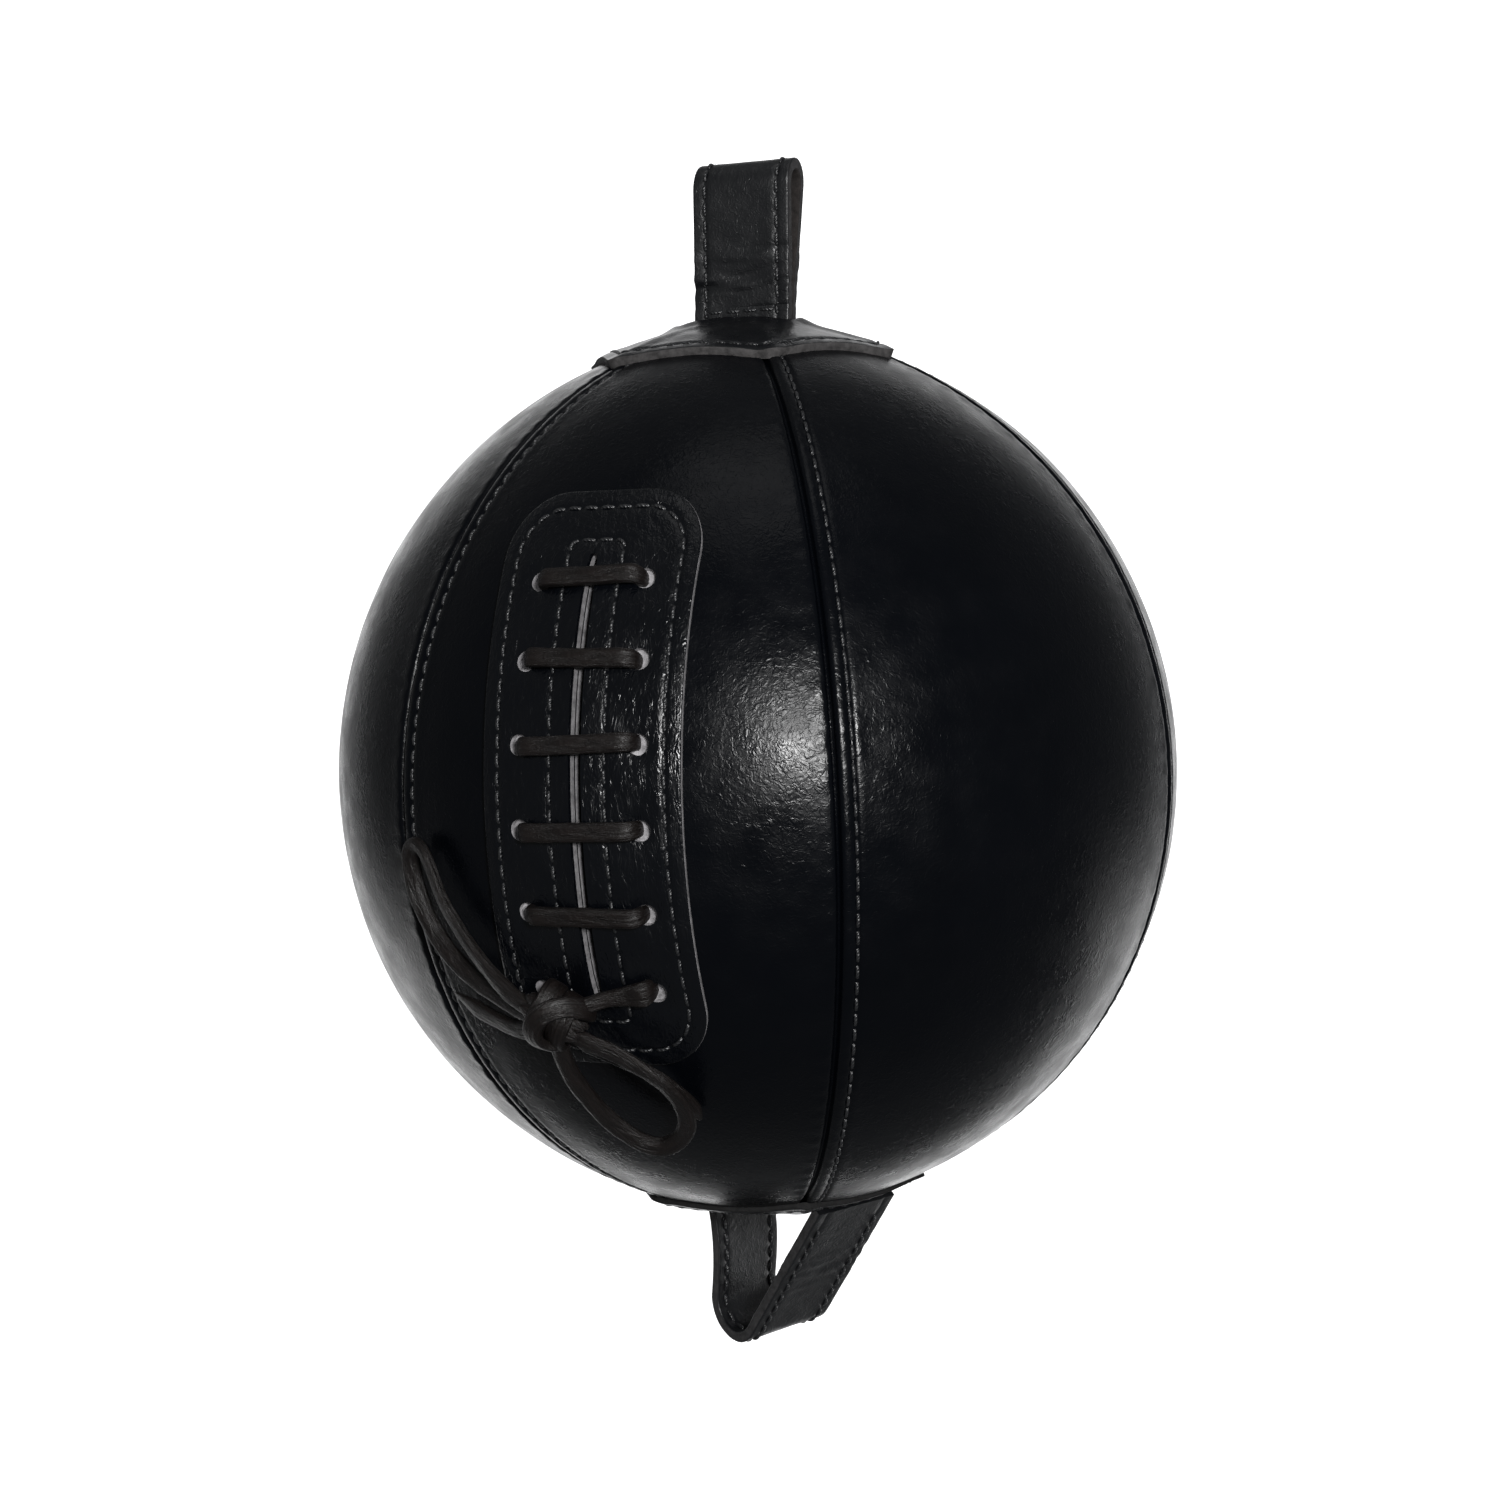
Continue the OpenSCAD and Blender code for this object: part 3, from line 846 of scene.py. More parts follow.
def gore(number):
    az = seam_of(number)
    last_row = round(2 * ARC_R * math.radians(LAST_LAT) / GORE_ROW_STEP)
    rows, uvs = [], []
    for j in range(last_row + 1):
        lat = -LAST_LAT + 2 * LAST_LAT * j / last_row
        t = ARC_R * math.radians(lat)
        width = radius_at(lat) * math.radians(GORE_ANGLE)
        squeeze = min(1.0, width / FULL_SPACING_W)
        left = [s * squeeze for s in FROM_LEFT]
        far = [width - s * squeeze for s in FROM_RIGHT[::-1]]
        middle = [left[-1] + (far[0] - left[-1]) * m / MIDDLE for m in range(1, MIDDLE)]
        row, uv = [], []
        for s in [*left, *middle, *far]:
            if s < width / 2:
                h = right_of_seam(s, t + 31 * number)
            else:
                h = left_of_seam(width - s, t + 17 * number)
            h += 0.22 * wobble(s / 30, t / 30, number * 3.0) * smoothstep(0, 14, min(s, width - s))
            row.append(on_ball(seam_azimuth(az, lat, s), lat, h))
            uv.append((s + 120 * number, t))
        # the inside of the leather, so that the gore is a closed shell
        for f in (1.0, 0.75, 0.5, 0.25, 0.0):
            below_seam = 0.8 if f in (0.0, 1.0) else 0.0
            row.append(on_ball(az + GORE_ANGLE * f, lat, -LEATHER - below_seam))
            uv.append((width * f, t))
        rows.append(row)
        uvs.append(uv)
    obj = grid(f"gore_{number}", rows, [BALL_LEATHER], closed=True, uv_of=lambda i, k: uvs[i][k], caps=True)
    if number == 1:
        open_behind_placket(obj)
    return place(obj, "ball", "leather", f"panel_{number}")


def open_behind_placket(obj):
    """Cuts the leather away behind the placket, where the slit and the lace holes are."""
    half_width = 18
    half_height = SLIT_H / 2 + 3
    az = math.radians(PLACKET_AZ)
    bm = bmesh.new()
    bm.from_mesh(obj.data)
    hidden = []
    for face in bm.faces:
        c = face.calc_center_median() * 1000 + Vector((0, 0, BEARING_Z))
        x = c.x * math.cos(az) + c.y * math.sin(az)
        if c.y < 0 and abs(x) < half_width and abs(c.z - PLACKET_MID) < half_height:
            hidden.append(face)
    bmesh.ops.delete(bm, geom=hidden, context="FACES")
    bm.to_mesh(obj.data)
    bm.free()


def seam_stitches(number):
    """The row of top-stitching along a gore's left seam."""
    points, normals = [], []
    steps = 400
    for j in range(steps + 1):
        lat = -LAST_STITCH_LAT + 2 * LAST_STITCH_LAT * j / steps
        az = seam_azimuth(seam_of(number), lat, TOPSTITCH)
        points.append(on_ball(az, lat, -0.22))
        normals.append(outward(az, lat))
    obj = stitches(f"seam_stitches_{number}", [Line(points, normals)], "ball")
    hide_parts(f"seam_thread_{number}")


for number in range(1, GORES + 1):
    gore(number)
for number in range(1, GORES + 1):
    seam_stitches(number)

# ---- placket ----


def box_distance(x, z, w, h, r):
    """Distance outside a rounded rectangle, less than 0 inside it."""
    qx, qz = abs(x) - (w / 2 - r), abs(z) - (h / 2 - r)
    return math.hypot(max(qx, 0), max(qz, 0)) + min(max(qx, qz), 0) - r


def rounded_outline(w, h, r):
    """Points round a rounded rectangle, anticlockwise from its right side."""

    def rim(quarter, degrees):
        """The point in that direction on the corner of one quarter."""
        sx, sz = ((1, 1), (-1, 1), (-1, -1), (1, -1))[quarter % 4]
        t = math.radians(degrees)
        return Vector((sx * (w / 2 - r) + r * math.cos(t), sz * (h / 2 - r) + r * math.sin(t)))

    out = []
    arc = max(4, round(math.radians(90) * r / OUTLINE_STEP))
    for quarter in range(4):
        first = 90 * quarter
        out += [rim(quarter, first + 90 * i / arc) for i in range(arc)]
        start = rim(quarter, first + 90)
        end = rim(quarter + 1, (first + 90) % 360)
        count = max(1, round((end - start).length / OUTLINE_STEP))
        out += [start.lerp(end, i / count) for i in range(count)]
    return out


HOLES = [(side * hole_x(row), row_z(row)) for row in range(LACE_ROWS) for side in (-1, 1)]


def placket_top(x, z):
    """Height of the placket's face over the ball."""
    inside = -box_distance(x, z, PLACKET_W, PLACKET_H, PLACKET_R)
    h = PLACKET_T - rounded_edge(inside, 0.5)
    # the ditch of the stitches round the edge, with the leather swelling on both sides of it
    pucker = 0.5 + 0.5 * wobble(x / 1.6, z / 1.6, 2)
    h -= (0.22 + 0.12 * pucker) * bump(inside - PLACKET_ROW, 0.5)
    h += 0.08 * bump(inside - 5.4, 1.2) + 0.10 * bump(inside - 2.2, 1.1)
    # the ditch of the stitches round the slit, and the slit's raised lips inside it
    from_box = box_distance(x, z, SLIT_BOX_W, SLIT_BOX_H, SLIT_BOX_R)
    h -= (0.24 + 0.12 * pucker) * bump(from_box, 0.5)
    if from_box < 0:
        from_slit = box_distance(x, z, SLIT_W, SLIT_H, 1.2)
        h += (0.55 if x < 0 else 0.35) * bump(from_slit, 3.0) * (1 + 0.35 * wobble(z / 9, x / 9, 3))
    h += 0.16 * bump(from_box - 2, 2.2) * wobble(z / 3.2, x / 7, 6)
    # the lace pulls the leather in round its holes, and puckers it
    for hx, hz in HOLES:
        far = math.hypot(x - hx, z - hz)
        if far < 12:
            h -= 0.5 * bump(far - 1.5, 2.4)
            h += 0.10 * bump(far - 5, 2.5) * wobble(math.atan2(z - hz, x - hx) * 3, far / 4, hz)
    h += 0.14 * wobble(x / 7, z / 11, 8) * smoothstep(1, 6, inside)
    return h


FACE, CUT_EDGE = 0, 1


def placket():
    outline = rounded_outline(PLACKET_W, PLACKET_H, PLACKET_R)
    ring_marks = [0, 0.006, 0.016, 0.03, 0.05] + [0.07 + 0.93 * i / 44 for i in range(45)]
    shrink_x = SLIT_W / PLACKET_W
    shrink_z = SLIT_H / PLACKET_H
    rows, slots = [], []

    def add(t, lift, slot, grow=0.0):
        """A ring from the outline (t = 0) to the slit (t = 1), grown outward round the slit."""
        row = []
        for p in outline:
            x = p.x * (1 - t + t * shrink_x)
            z = p.y * (1 - t + t * shrink_z)
            if grow:
                # outward from a long oval with blunt ends, which is the slit's shape here
                away = Vector((x / (SLIT_W / 2) ** 2, z**3 / (SLIT_H / 2) ** 4)).normalized()
                x, z = x + away.x * grow, z + away.y * grow
            row.append(placket_point(x, z, placket_top(x, z) if lift is None else lift))
        rows.append(row)
        slots.append(slot)

    add(0, 0.05, CUT_EDGE)
    add(0, 0.5, CUT_EDGE)
    for t in ring_marks:
        add(t, None, CUT_EDGE if t == 0 else FACE)
    # down into the slit: the placket's cut edge, a dark groove, then the gore's cut edge
    add(1, 1.1, CUT_EDGE, -0.1)
    add(1, 0.3, CUT_EDGE, -0.5)
    add(1, 0.0, FACE, -0.45)
    add(1, -0.2, CUT_EDGE, -0.6)
    add(1, -0.95, CUT_EDGE, -0.9)
    add(1, -1.5, FACE, -0.95)
    # and back to the outline underneath
    add(1, -1.6, FACE, 5.0)
    add(0.35, -0.3, FACE)
    obj = grid(
        "placket_sheet",
        rows,
        [PLACKET_LEATHER, PLACKET_EDGE],
        closed=True,
        looped=True,
        slot_of=lambda i, k: slots[i],
    )
    cut_holes(obj)
    sharpen(obj, 50)
    return place(obj, "ball", "placket_leather", "placket")


def hole_place(x, z):
    """A lace hole's middle on the ball, and the rotation that turns +Z outward there."""
    centre = placket_point(x, z, 0)
    out = (placket_point(x, z, 1) - centre).normalized()
    return centre, out.to_track_quat("Z", "Y").to_matrix()


def cut_holes(obj):
    """Punches the lace holes, whose walls are cut edges."""
    bm = bmesh.new()
    for x, z in HOLES:
        centre, turn = hole_place(x, z)
        bmesh.ops.create_cone(
            bm,
            cap_ends=True,
            segments=28,
            radius1=HOLE_D / 2000,
            radius2=HOLE_D / 2000,
            depth=0.016,
            matrix=Matrix.Translation(row_frame(centre)) @ turn.to_4x4(),
        )
    mesh = bpy.data.meshes.new("cutter")
    bm.to_mesh(mesh)
    bm.free()
    mesh.materials.append(PALE_CORE)
    cutter = bpy.data.objects.new("cutter", mesh)
    bpy.context.scene.collection.objects.link(cutter)
    boolean = obj.modifiers.new("holes", "BOOLEAN")
    boolean.operation = "DIFFERENCE"
    boolean.solver = "EXACT"
    boolean.object = cutter
    boolean.material_mode = "TRANSFER"
    bpy.context.view_layer.objects.active = obj
    bpy.ops.object.modifier_apply(modifier="holes")
    bpy.data.objects.remove(cutter)


placket()


def hole_cores():
    """The paler core of the leather under each hole, seen beside the lace."""
    points, faces = [], []
    sides = 20
    rings = [(0.4, -1.0), (1.4, -0.75), (2.3, -0.45), (2.75, -0.2)]
    for x, z in HOLES:
        first = len(points)
        centre, turn = hole_place(x, z)
        for r, lift in rings:
            for k in range(sides):
                t = math.tau * k / sides
                wave = 0.12 * wobble(math.cos(t) * 2, math.sin(t) * 2, x + z)
                points.append(centre + turn @ Vector((r * math.cos(t), r * math.sin(t), lift + wave)))
        for ring in range(len(rings) - 1):
            for k in range(sides):
                a, b = first + ring * sides + k, first + ring * sides + (k + 1) % sides
                faces.append((a, b, b + sides, a + sides))
        faces.append(tuple(first + k for k in range(sides)))
    return place(make_mesh("hole_cores", points, faces, [PALE_CORE]), "ball", "placket_leather")


hole_cores()


def outline_stitches(name, w, h, r, node):
    """A row of stitches round a rounded rectangle on the placket."""
    outline = rounded_outline(w, h, r)
    outline.append(outline[0])
    points, normals = [], []
    for p in outline:
        here = placket_point(p.x, p.y, placket_top(p.x, p.y) + 0.08)
        points.append(here)
        normals.append((placket_point(p.x, p.y, 5) - placket_point(p.x, p.y, 0)).normalized())
    obj = stitches(name, [Line(points, normals)], "ball")
    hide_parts(node)


outline_stitches(
    "placket_stitches",
    PLACKET_W - 2 * PLACKET_ROW,
    PLACKET_H - 2 * PLACKET_ROW,
    PLACKET_R - PLACKET_ROW,
    "placket_thread",
)
outline_stitches("slit_stitches", SLIT_BOX_W, SLIT_BOX_H, SLIT_BOX_R, "slit_thread")

# ---- patches over the poles ----


PATCH_APOTHEM = PATCH_R * math.cos(math.radians(30))


def hexagon_inset(x, y):
    """Distance inside the patch's hexagon."""
    sides = (math.radians(30 + 60 * n) for n in range(3))
    return PATCH_APOTHEM - max(abs(x * math.cos(t) + y * math.sin(t)) for t in sides)


def seam_ridge(x, y):
    """The patch rides up over the seams under it."""
    rho = math.hypot(x, y)
    az = math.degrees(math.atan2(x, -y))
    off = (az + GORE_ANGLE / 2) % GORE_ANGLE
    s = rho * math.radians(off if off < GORE_ANGLE / 2 else off - GORE_ANGLE)
    return 0.55 * bump(s - 1.6, 2.6) * smoothstep(6, 20, rho)


def patch_lift(x, y, slit):
    """Height of a patch's face over the ball. slit says that the strap comes out through the middle."""
    inset = hexagon_inset(x, y)
    h = (TOP_PATCH_T if slit else BOTTOM_PATCH_T) - rounded_edge(max(0.0, inset), 0.45) + seam_ridge(x, y)
    pull = 0.5 + 0.5 * wobble(x / 1.7, y / 1.7, 11)
    h -= (0.22 + 0.14 * pull) * bump(inset - PATCH_ROW, 0.55)
    h += 0.12 * bump(inset - 2, 1.1) + 0.1 * bump(inset - 5, 1.3)
    h += 0.12 * wobble(x / 5, y / 5, 12)
    if slit:
        # the leather rises to the strap all round it, and dips where the two meet
        away = box_distance(x, y, STRAP_W + 3, 6.6, 2.5)
        h += 1.6 * bump(max(0.0, away), 4.5) * (1 + 0.3 * wobble(x / 6, y / 6, 13))
        h -= 1.0 * bump(away, 0.8)
    return h


def hexagon_outline():
    """Points round the hexagon, with slightly rounded corners and a hand-cut edge."""
    sharp = []
    count = round(PATCH_R / OUTLINE_STEP)
    for n in range(6):
        a, b = math.radians(60 * n), math.radians(60 * (n + 1))
        p = Vector((math.cos(a), math.sin(a))) * PATCH_R
        q = Vector((math.cos(b), math.sin(b))) * PATCH_R
        sharp.extend(p.lerp(q, i / count) for i in range(count))
    rounded = []
    for i, p in enumerate(sharp):
        total = Vector((0, 0))
        for k in range(-3, 4):
            total += sharp[(i + k) % len(sharp)]
        cut = 1 + 0.004 * wobble(p.x / 9, p.y / 9, 21)
        rounded.append(total / 7 * cut)
    return rounded


def patch(name, side, slit, node):
    """A patch, from its outline in to the strap's slit, or nearly to its middle where there is no slit."""
    outline = hexagon_outline()
    inner_w, inner_h = (STRAP_W + 1.5, 6.0) if slit else (0.6, 0.6)
    inner = [Vector((p.x / PATCH_R * inner_w / 2, p.y / PATCH_R * inner_h / 2)) for p in outline]
    marks = [0, 0.012, 0.03, 0.055] + [0.08 + 0.92 * i / 46 for i in range(47)]
    rows, slots = [], []

    def add(t, lift, slot, spread=1.0):
        row = []
        for p, q in zip(outline, inner):
            at = (p * spread).lerp(q, t)
            height = patch_lift(at.x, at.y, slit) if lift is None else lift
            row.append(above(at.x, at.y, height, side))
        rows.append(row)
        slots.append(slot)

    add(0, 0.0, CUT_EDGE)
    add(0, 0.6, CUT_EDGE, 1.001)
    for t in marks:
        add(t, None, CUT_EDGE if t == 0 else FACE)
    if slit:
        add(1, 1.8, CUT_EDGE)
        add(1, 0.2, CUT_EDGE)
    edge = PATCH_EDGE if slit else BALL_EDGE
    obj = grid(name, rows, [PATCH_LEATHER, edge], closed=True, slot_of=lambda i, k: slots[i])
    sharpen(obj, 50)
    return place(obj, "ball", "leather", node)


def patch_stitches(name, side, slit, node):
    outline = hexagon_outline()
    points, normals = [], []
    for p in [*outline, outline[0]]:
        q = p * (1 - PATCH_ROW / PATCH_APOTHEM)
        lift = patch_lift(q.x, q.y, slit) + 0.05
        here = above(q.x, q.y, lift, side)
        points.append(here)
        normals.append((above(q.x, q.y, lift + 5, side) - here).normalized())
    obj = stitches(name, [Line(points, normals)], "ball")
    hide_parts(node)


patch("patch_top", 1, True, "top_patch")
patch("patch_bottom", -1, False, "bottom_patch")
patch_stitches("top_patch_stitches", 1, True, "top_patch_thread")
patch_stitches("bottom_patch_stitches", -1, False, "bottom_patch_thread")

# ---- straps ----

ROW_X = STRAP_W / 2 - STRAP_ROW
STRAP_T = 2 * PLY
# How far from a strap's edge its points lie, up to its middle
STRAP_COLUMNS = [0, 0.12, 0.35, 0.8, 1.6, 2.4, 2.8, 3.1, 3.4, 3.8, 4.6, 6.0, 8.0, 10.2, 12.5]


class Strap:
    """A two-ply strap along a line in a plane, which is its inner face.

    to_ball turns a place in the plane and across the strap into a point about the ball's centre. creased says
    how deep the creases are, in mm, at a distance along the strap.
    """

    def __init__(self, line, to_ball, creased):
        self.line = line
        self.at = lengths(line)
        self.to_ball = to_ball
        self.creased = creased
        directions = [along(line, i) for i in range(len(line))]
        self.normals = [Vector((d.y, -d.x)) for d in directions]

    def point(self, i, x, depth):
        """The point x mm across the strap and depth mm outside its inner face."""
        p = self.line[i] + self.normals[i] * depth
        return self.to_ball(p.x, x, p.y)

    def relief(self, i, x, face):
        """How far a face stands over its plain depth: rounded edges, ditches of the stitches and creases."""
        s = self.at[i]
        h = -rounded_edge(STRAP_W / 2 - abs(x), 0.35)
        pull = 0.5 + 0.5 * math.cos(math.tau * s / STITCH_PITCH)
        h -= (0.16 + 0.12 * pull) * bump(abs(x) - ROW_X, 0.5)
        h += 0.06 * bump(abs(x) - ROW_X + 1.6, 1.0)
        creases = 0.7 * wobble(s / 2.2, x / 9, face) + 0.3 * wobble(s / 4.2, x / 4, face + 3)
        h += self.creased(s) * creases
        h += 0.07 * wobble(s / 9, x / 7, face + 7)
        return h

    def ply(self, name, low, high, materials):
        """One ply between two depths: a closed band with its two faces and its cut edges."""
        xs = [c - STRAP_W / 2 for c in STRAP_COLUMNS]
        xs += [-x for x in xs[-2::-1]]
        rows, uvs = [], []
        for i in range(len(self.line)):
            # the outer ply's outside and the inner ply's inside are seen; the faces between them only touch
            top = [self.point(i, x, high + (self.relief(i, x, 1) if low > 0 else 0.0)) for x in xs]
            bottom = [self.point(i, x, low - (self.relief(i, x, 2) if low == 0 else 0.0)) for x in xs]
            rows.append([*top, *bottom[::-1]])
            uvs.append([(x, self.at[i]) for x in [*xs, *xs[::-1]]])
        n = len(xs)

        def slot_of(i, k):
            if k in (n - 1, 2 * n - 1):
                return 2
            return 0 if k < n else 1

        def uv_of(i, k):
            return uvs[i][k]

        obj = grid(name, rows, materials, closed=True, slot_of=slot_of, uv_of=uv_of, caps=True)
        sharpen(obj, 60)
        return obj

    def row(self, x, depth, out, first, last):
        """A line for stitches at x, over one face."""
        points, normals = [], []
        for i in range(len(self.line)):
            if first <= self.at[i] <= last:
                here = self.point(i, x, depth)
                points.append(here)
                normals.append((self.point(i, x, depth + 1) - here).normalized() * out)
        return Line(points, normals)


def strap_arc(centre, r, first, last):
    count = max(8, round(math.radians(abs(last - first)) * r / 0.7))
    out = []
    for i in range(count + 1):
        t = math.radians(first + (last - first) * i / count)
        out.append(centre + r * Vector((math.cos(t), math.sin(t))))
    return out


def straight(a, b):
    """Points from a to just before b."""
    count = max(2, round((b - a).length / 0.8))
    return [a.lerp(b, i / count) for i in range(count)]


def finish_strap(name, strap, inside, row_ends, roots, bend):
    """Makes a strap's plies and stitching.

    inside is the material of its inner face, row_ends are where the stitches of its outer and its inner face
    stop short of its ends, and bend is the height of both ends of the bend over the ball's centre.
    """
    total = strap.at[-1]
    outer = strap.ply(f"{name}_outer_ply", PLY, STRAP_T, [STRAP_LEATHER, STRAP_LEATHER, STRAP_EDGE])
    inner = strap.ply(f"{name}_inner_ply", 0, PLY, [STRAP_LEATHER, inside, STRAP_EDGE])
    rows = []
    for depth, out, end in ((STRAP_T, 1, row_ends[0]), (0.0, -1, row_ends[1])):
        rows += [strap.row(x, depth, out, end, total - end) for x in (-ROW_X, ROW_X)]
    thread = stitches(f"{name}_strap_stitches", rows, None)
    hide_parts(f"{name}_strap_outer", roots)
    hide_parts(f"{name}_strap_inner")
    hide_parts(f"{name}_strap_thread")
    start, end = (row_frame(Vector((0, 0, z))) for z in bend)
    for obj, slot in ((outer, "leather"), (inner, "raw_leather"), (thread, "thread")):
        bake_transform(obj)
        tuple(start)
        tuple(end)


TOP_BEND_Z = BEARING_Z - TOP_BEND_R
LOOP_END_Z = POLE_Z + 8.5
# The angle by which each leg leans out between its foot and the bend
TOP_FLARE = math.asin(TOP_BEND_R / (TOP_BEND_Z - LOOP_END_Z + 2))


def top_line():
    """From under the patch up the back leg, over the bend and down the front one. First number is -Y."""
    centre = Vector((0, TOP_BEND_Z))
    tangent = centre + TOP_BEND_R * Vector((math.cos(TOP_FLARE), -math.sin(TOP_FLARE)))
    foot = [Vector((0.12, POLE_Z - 1.5)), Vector((0.12, POLE_Z + 4)), Vector((0.3, LOOP_END_Z))]
    leg = smooth_line([*foot, tangent], 0.8)[:-1]
    bend = strap_arc(centre, TOP_BEND_R, -math.degrees(TOP_FLARE), 180 + math.degrees(TOP_FLARE))
    down = [Vector((-p.x, p.y)) for p in leg[::-1]]
    return [*leg, *bend, *down]


def leaning(p):
    """The top strap leans a little to the right."""
    return p + Vector((1.8 + 0.075 * max(0.0, p.z - POLE_Z), 0, 0))


def top_strap():
    line = top_line()
    total = lengths(line)[-1]

    def creased(s):
        """Creased over the lower part of both legs."""
        near = min(s, total - s)
        return smoothstep(4, 9, near) * (1 - smoothstep(19, 27, near))

    strap = Strap(line, lambda u, x, z: leaning(Vector((x, -u, z))), creased)
    bend = (POLE_Z + 12.5, POLE_Z + 4)
    finish_strap("top", strap, FLESH_SIDE, (3.5, 14), "top_strap_root", bend)


def top_anchor():
    """The short rows of stitches that pinch the top strap over its patch, on both faces."""
    z = POLE_Z + 4.2
    rows = []
    for y in (-1, 1):
        points = [leaning(Vector((x, y * (STRAP_T + 0.15), z))) for x in range(-9, 10)]
        rows.append(Line(points, [Vector((0, y, 0))] * len(points)))
    anchor = stitches("top_anchor_stitches", rows, "ball")
    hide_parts("top_anchor_thread")


top_strap()
top_anchor()

BOTTOM_DROP = 36
BOTTOM_BEND = Vector((-4.7, BOTTOM_BEND_R + STRAP_T - POLE_Z - BOTTOM_DROP))
BOTTOM_LEAN = 38


def bottom_line():
    """From inside the ball down the back leg, round the bend and up the leaning front leg."""
    top_z = -POLE_Z + 6.0
    bend = strap_arc(BOTTOM_BEND, BOTTOM_BEND_R, 180, 360 - BOTTOM_LEAN)
    bend_start = BOTTOM_BEND + Vector((-BOTTOM_BEND_R, 0))
    back_leg = straight(Vector((bend_start.x, top_z)), bend_start)
    lean = math.radians(BOTTOM_LEAN)
    end = bend[-1] + Vector((math.sin(lean), math.cos(lean))) * ((top_z - bend[-1].y) / math.cos(lean))
    front_leg = straight(bend[-1], end)[1:]
    return [*back_leg, *bend, *front_leg, end]


def bottom_strap():
    line = bottom_line()
    total = lengths(line)[-1]
    turn = math.radians(BOTTOM_AZ - 90)
    bowed_h = 26.0

    def to_ball(u, x, z):
        # the back leg is set back, bowed and twisted a little on its way down
        back_leg = 1 - smoothstep(-9, 4, u)
        drop = min(bowed_h, max(0.0, -POLE_Z - z))
        twist = math.radians(13) * back_leg
        u += -2.4 * back_leg + 1.5 * math.sin(math.pi * drop / bowed_h) * back_leg - x * math.sin(twist)
        y = x * math.cos(twist)
        return Vector((u * math.cos(turn) - y * math.sin(turn), u * math.sin(turn) + y * math.cos(turn), z))

    def creased(s):
        """Creased a little all over, and most where the front leg goes into the bend."""
        return 0.5 * bump(s - (total - 24), 5) + 0.08

    strap = Strap(line, to_ball, creased)
    # this line runs the other way round, so its normals are turned away from the middle of the bend
    strap.normals = [-n if n.dot(p - BOTTOM_BEND) < 0 else n for n, p in zip(strap.normals, line)]
    bend = (-POLE_Z - 2, -POLE_Z - 12)
    finish_strap("bottom", strap, STRAP_LEATHER, (6, 6), "bottom_strap_roots", bend)


bottom_strap()

# ---- CAD nodes that stay: what is inside the ball ----


def dress(node, material):
    """Gives a CAD node its material."""
    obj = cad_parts[node]
    obj.data.materials.clear()
    obj.data.materials.append(material)


CANVAS = plain("canvas", (0.30, 0.26, 0.20), 0.85, 0.8)
BLADDER = plain("bladder_rubber", (0.05, 0.04, 0.038), 0.5, 3)
VALVE = plain("valve_rubber", (0.25, 0.03, 0.02), 0.45, 2)
TONGUE = raw_edge("tongue_leather", (0.030, 0.027, 0.026))
for number in range(1, GORES + 1):
    dress(f"lining_{number}", CANVAS)
dress("bladder", BLADDER)
dress("bladder_valve", VALVE)
dress("tongue", TONGUE)

# ---- studio ----


# The paper's near edge, its wall and the bend between them, in mm from the ball's centre
FLOOR_Z = -311.3
FLOOR_NEAR = 200
WALL = 1300
WALL_TOP = 1298.7
WALL_BEND_R = 500
BACKDROP_HALF_W = 1250


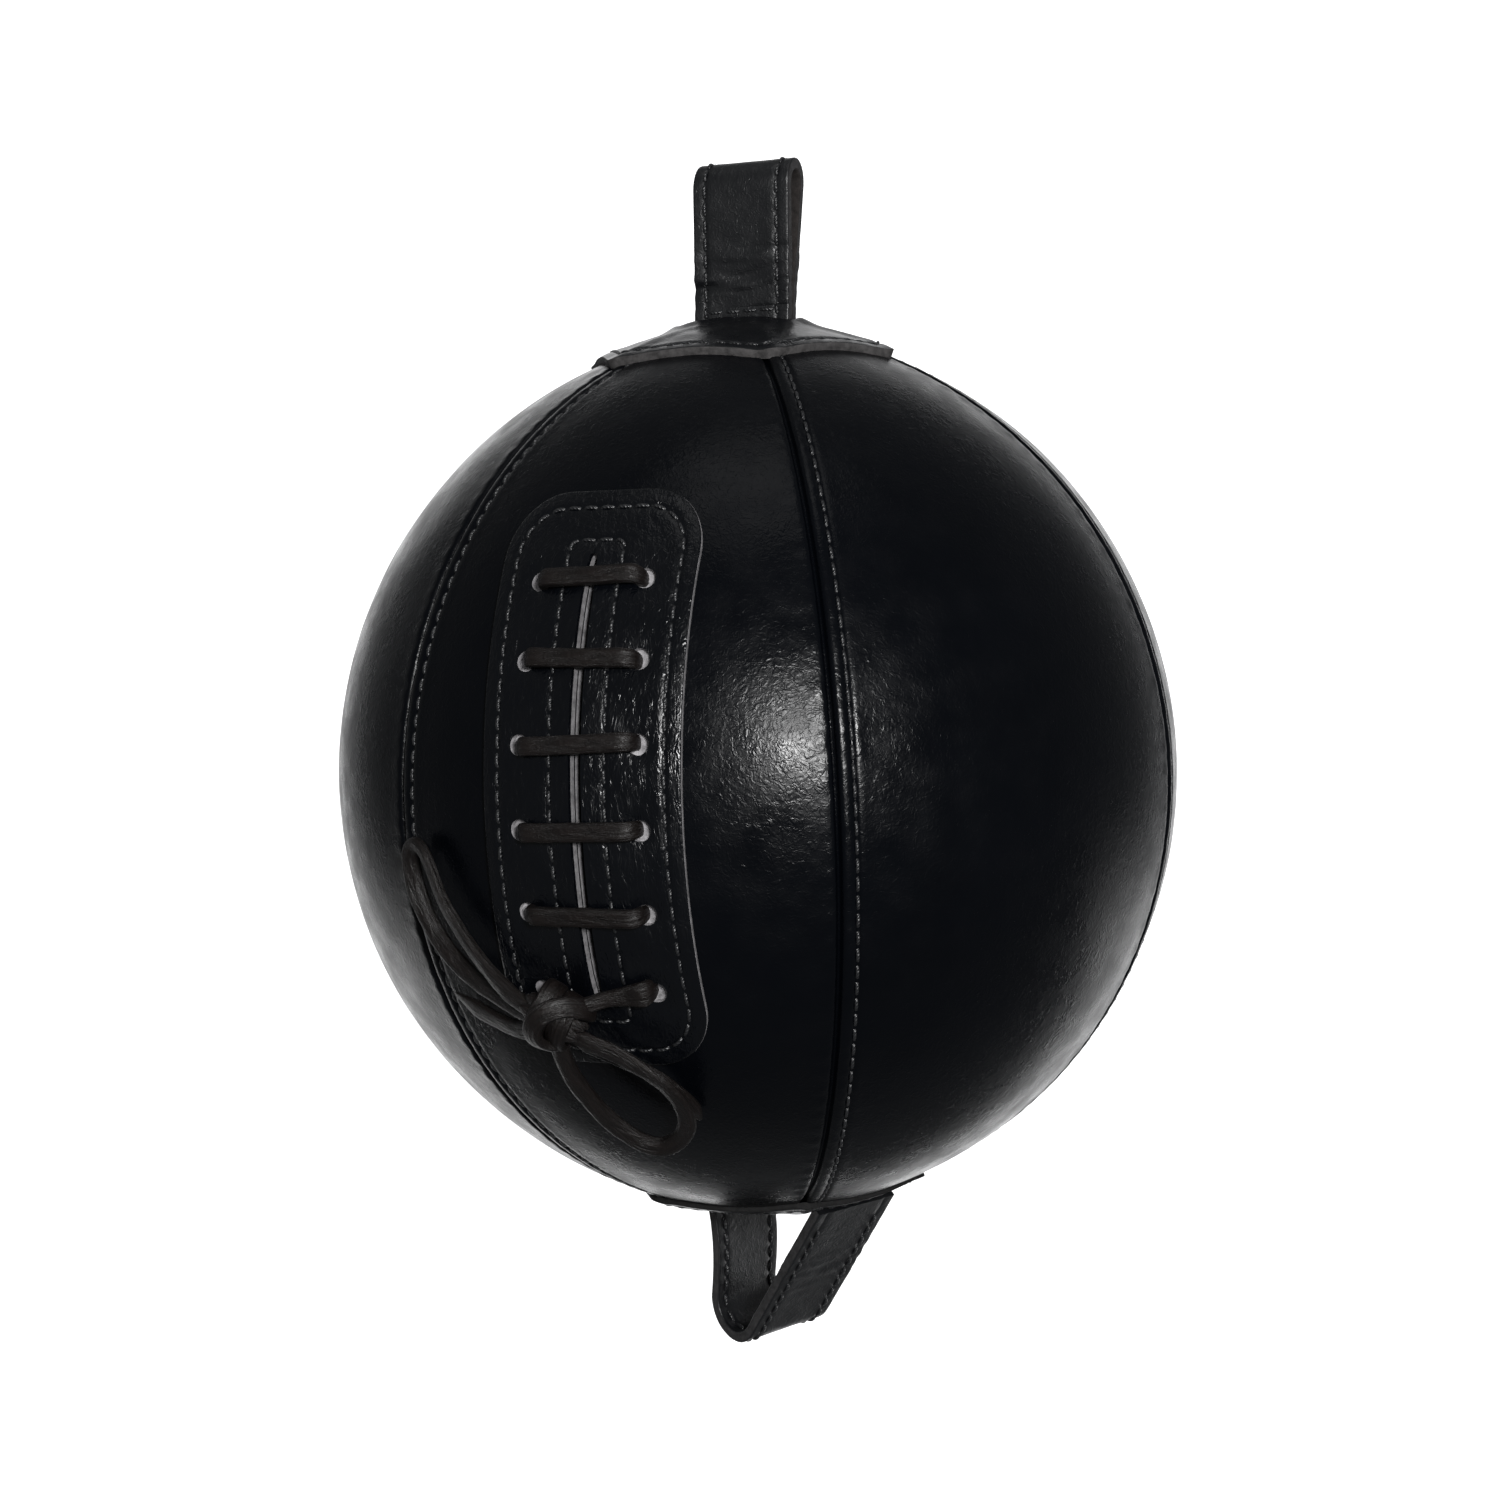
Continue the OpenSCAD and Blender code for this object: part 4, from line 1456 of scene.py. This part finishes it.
def glowing_backdrop_material():
    """White paper that glows with painted light, evenly behind the ball and less towards its sides and its
    top.
    """
    n = Nodes("backdrop_paper_glow")
    place_mm = n.coordinates(False)
    across = n.add("ShaderNodeVectorMath", {0: place_mm, 1: right}, operation="DOT_PRODUCT").outputs["Value"]
    height = n.add("ShaderNodeSeparateXYZ", {0: place_mm}).outputs["Z"]
    # painted light: the paper glows fully behind the ball and less towards its sides and its top
    sides = n.ramp(n.math("ABSOLUTE", across), 590, 900, 1.0, 0.08)
    top = n.ramp(height, 320, 900, 1.0, 0.08)
    n.set(
        Base_Color=(0.86, 0.86, 0.87, 1),
        Roughness=n.ramp(n.noise(place_mm, 0.01, 2), 0.3, 0.7, 0.85, 0.95),
        Specular_IOR_Level=0.0,
        Emission_Color=(1, 1, 1, 1),
        Emission_Strength=n.math("MULTIPLY", sides, top),
    )
    return n.material


def backdrop():
    """A pale floor that starts behind the ball and curves up into a pale wall."""
    steps = 12
    profile = [(FLOOR_NEAR, FLOOR_Z), (WALL - WALL_BEND_R, FLOOR_Z)]
    for i in range(1, steps + 1):
        t = math.radians(90 * i / steps)
        y = WALL - WALL_BEND_R + WALL_BEND_R * math.sin(t)
        profile.append((y, FLOOR_Z + WALL_BEND_R * (1 - math.cos(t))))
    profile.append((WALL, WALL_TOP))
    turn = Matrix.Rotation(AZIMUTH, 3, "Z")
    rows = [[turn @ Vector((x, y, z)) for x in (-BACKDROP_HALF_W, BACKDROP_HALF_W)] for y, z in profile]
    obj = grid("backdrop", rows, [glowing_backdrop_material()])
    obj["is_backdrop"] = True


def area_light(name, direction, distance, size, power):
    """A round, soft light that faces the ball's centre. distance and size are in metres, power in watts."""
    data = bpy.data.lights.new(name, "AREA")
    data.shape = "DISK"
    data.size = size
    data.energy = power
    obj = bpy.data.objects.new(name, data)
    bpy.context.scene.collection.objects.link(obj)
    aim = Vector(direction).normalized()
    obj.location = row_frame(Vector((0, 0, 0))) + aim * distance
    obj.rotation_mode = "QUATERNION"
    obj.rotation_quaternion = aim.to_track_quat("Z", "Y")


backdrop()
area_light("key", back + 0.20 * right + 0.12 * up, 0.95, 0.17, 11)
area_light("top", (0.1, -0.2, 1), 1.6, 0.9, 2)

world = bpy.data.worlds.new("studio")
world.use_nodes = True
sky = world.node_tree.nodes["Background"]
sky.inputs["Color"].default_value = (0.96, 0.98, 1.0, 1)
sky.inputs["Strength"].default_value = 0.17
bpy.context.scene.world = world
bpy.context.scene.view_settings.view_transform = "Standard"

# ---- sizes of the CAD box and of what is drawn ----

boxes = {"cad": cad_box, "visual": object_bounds()}
{k: [list(v) for v in pair] for k, pair in boxes.items()}
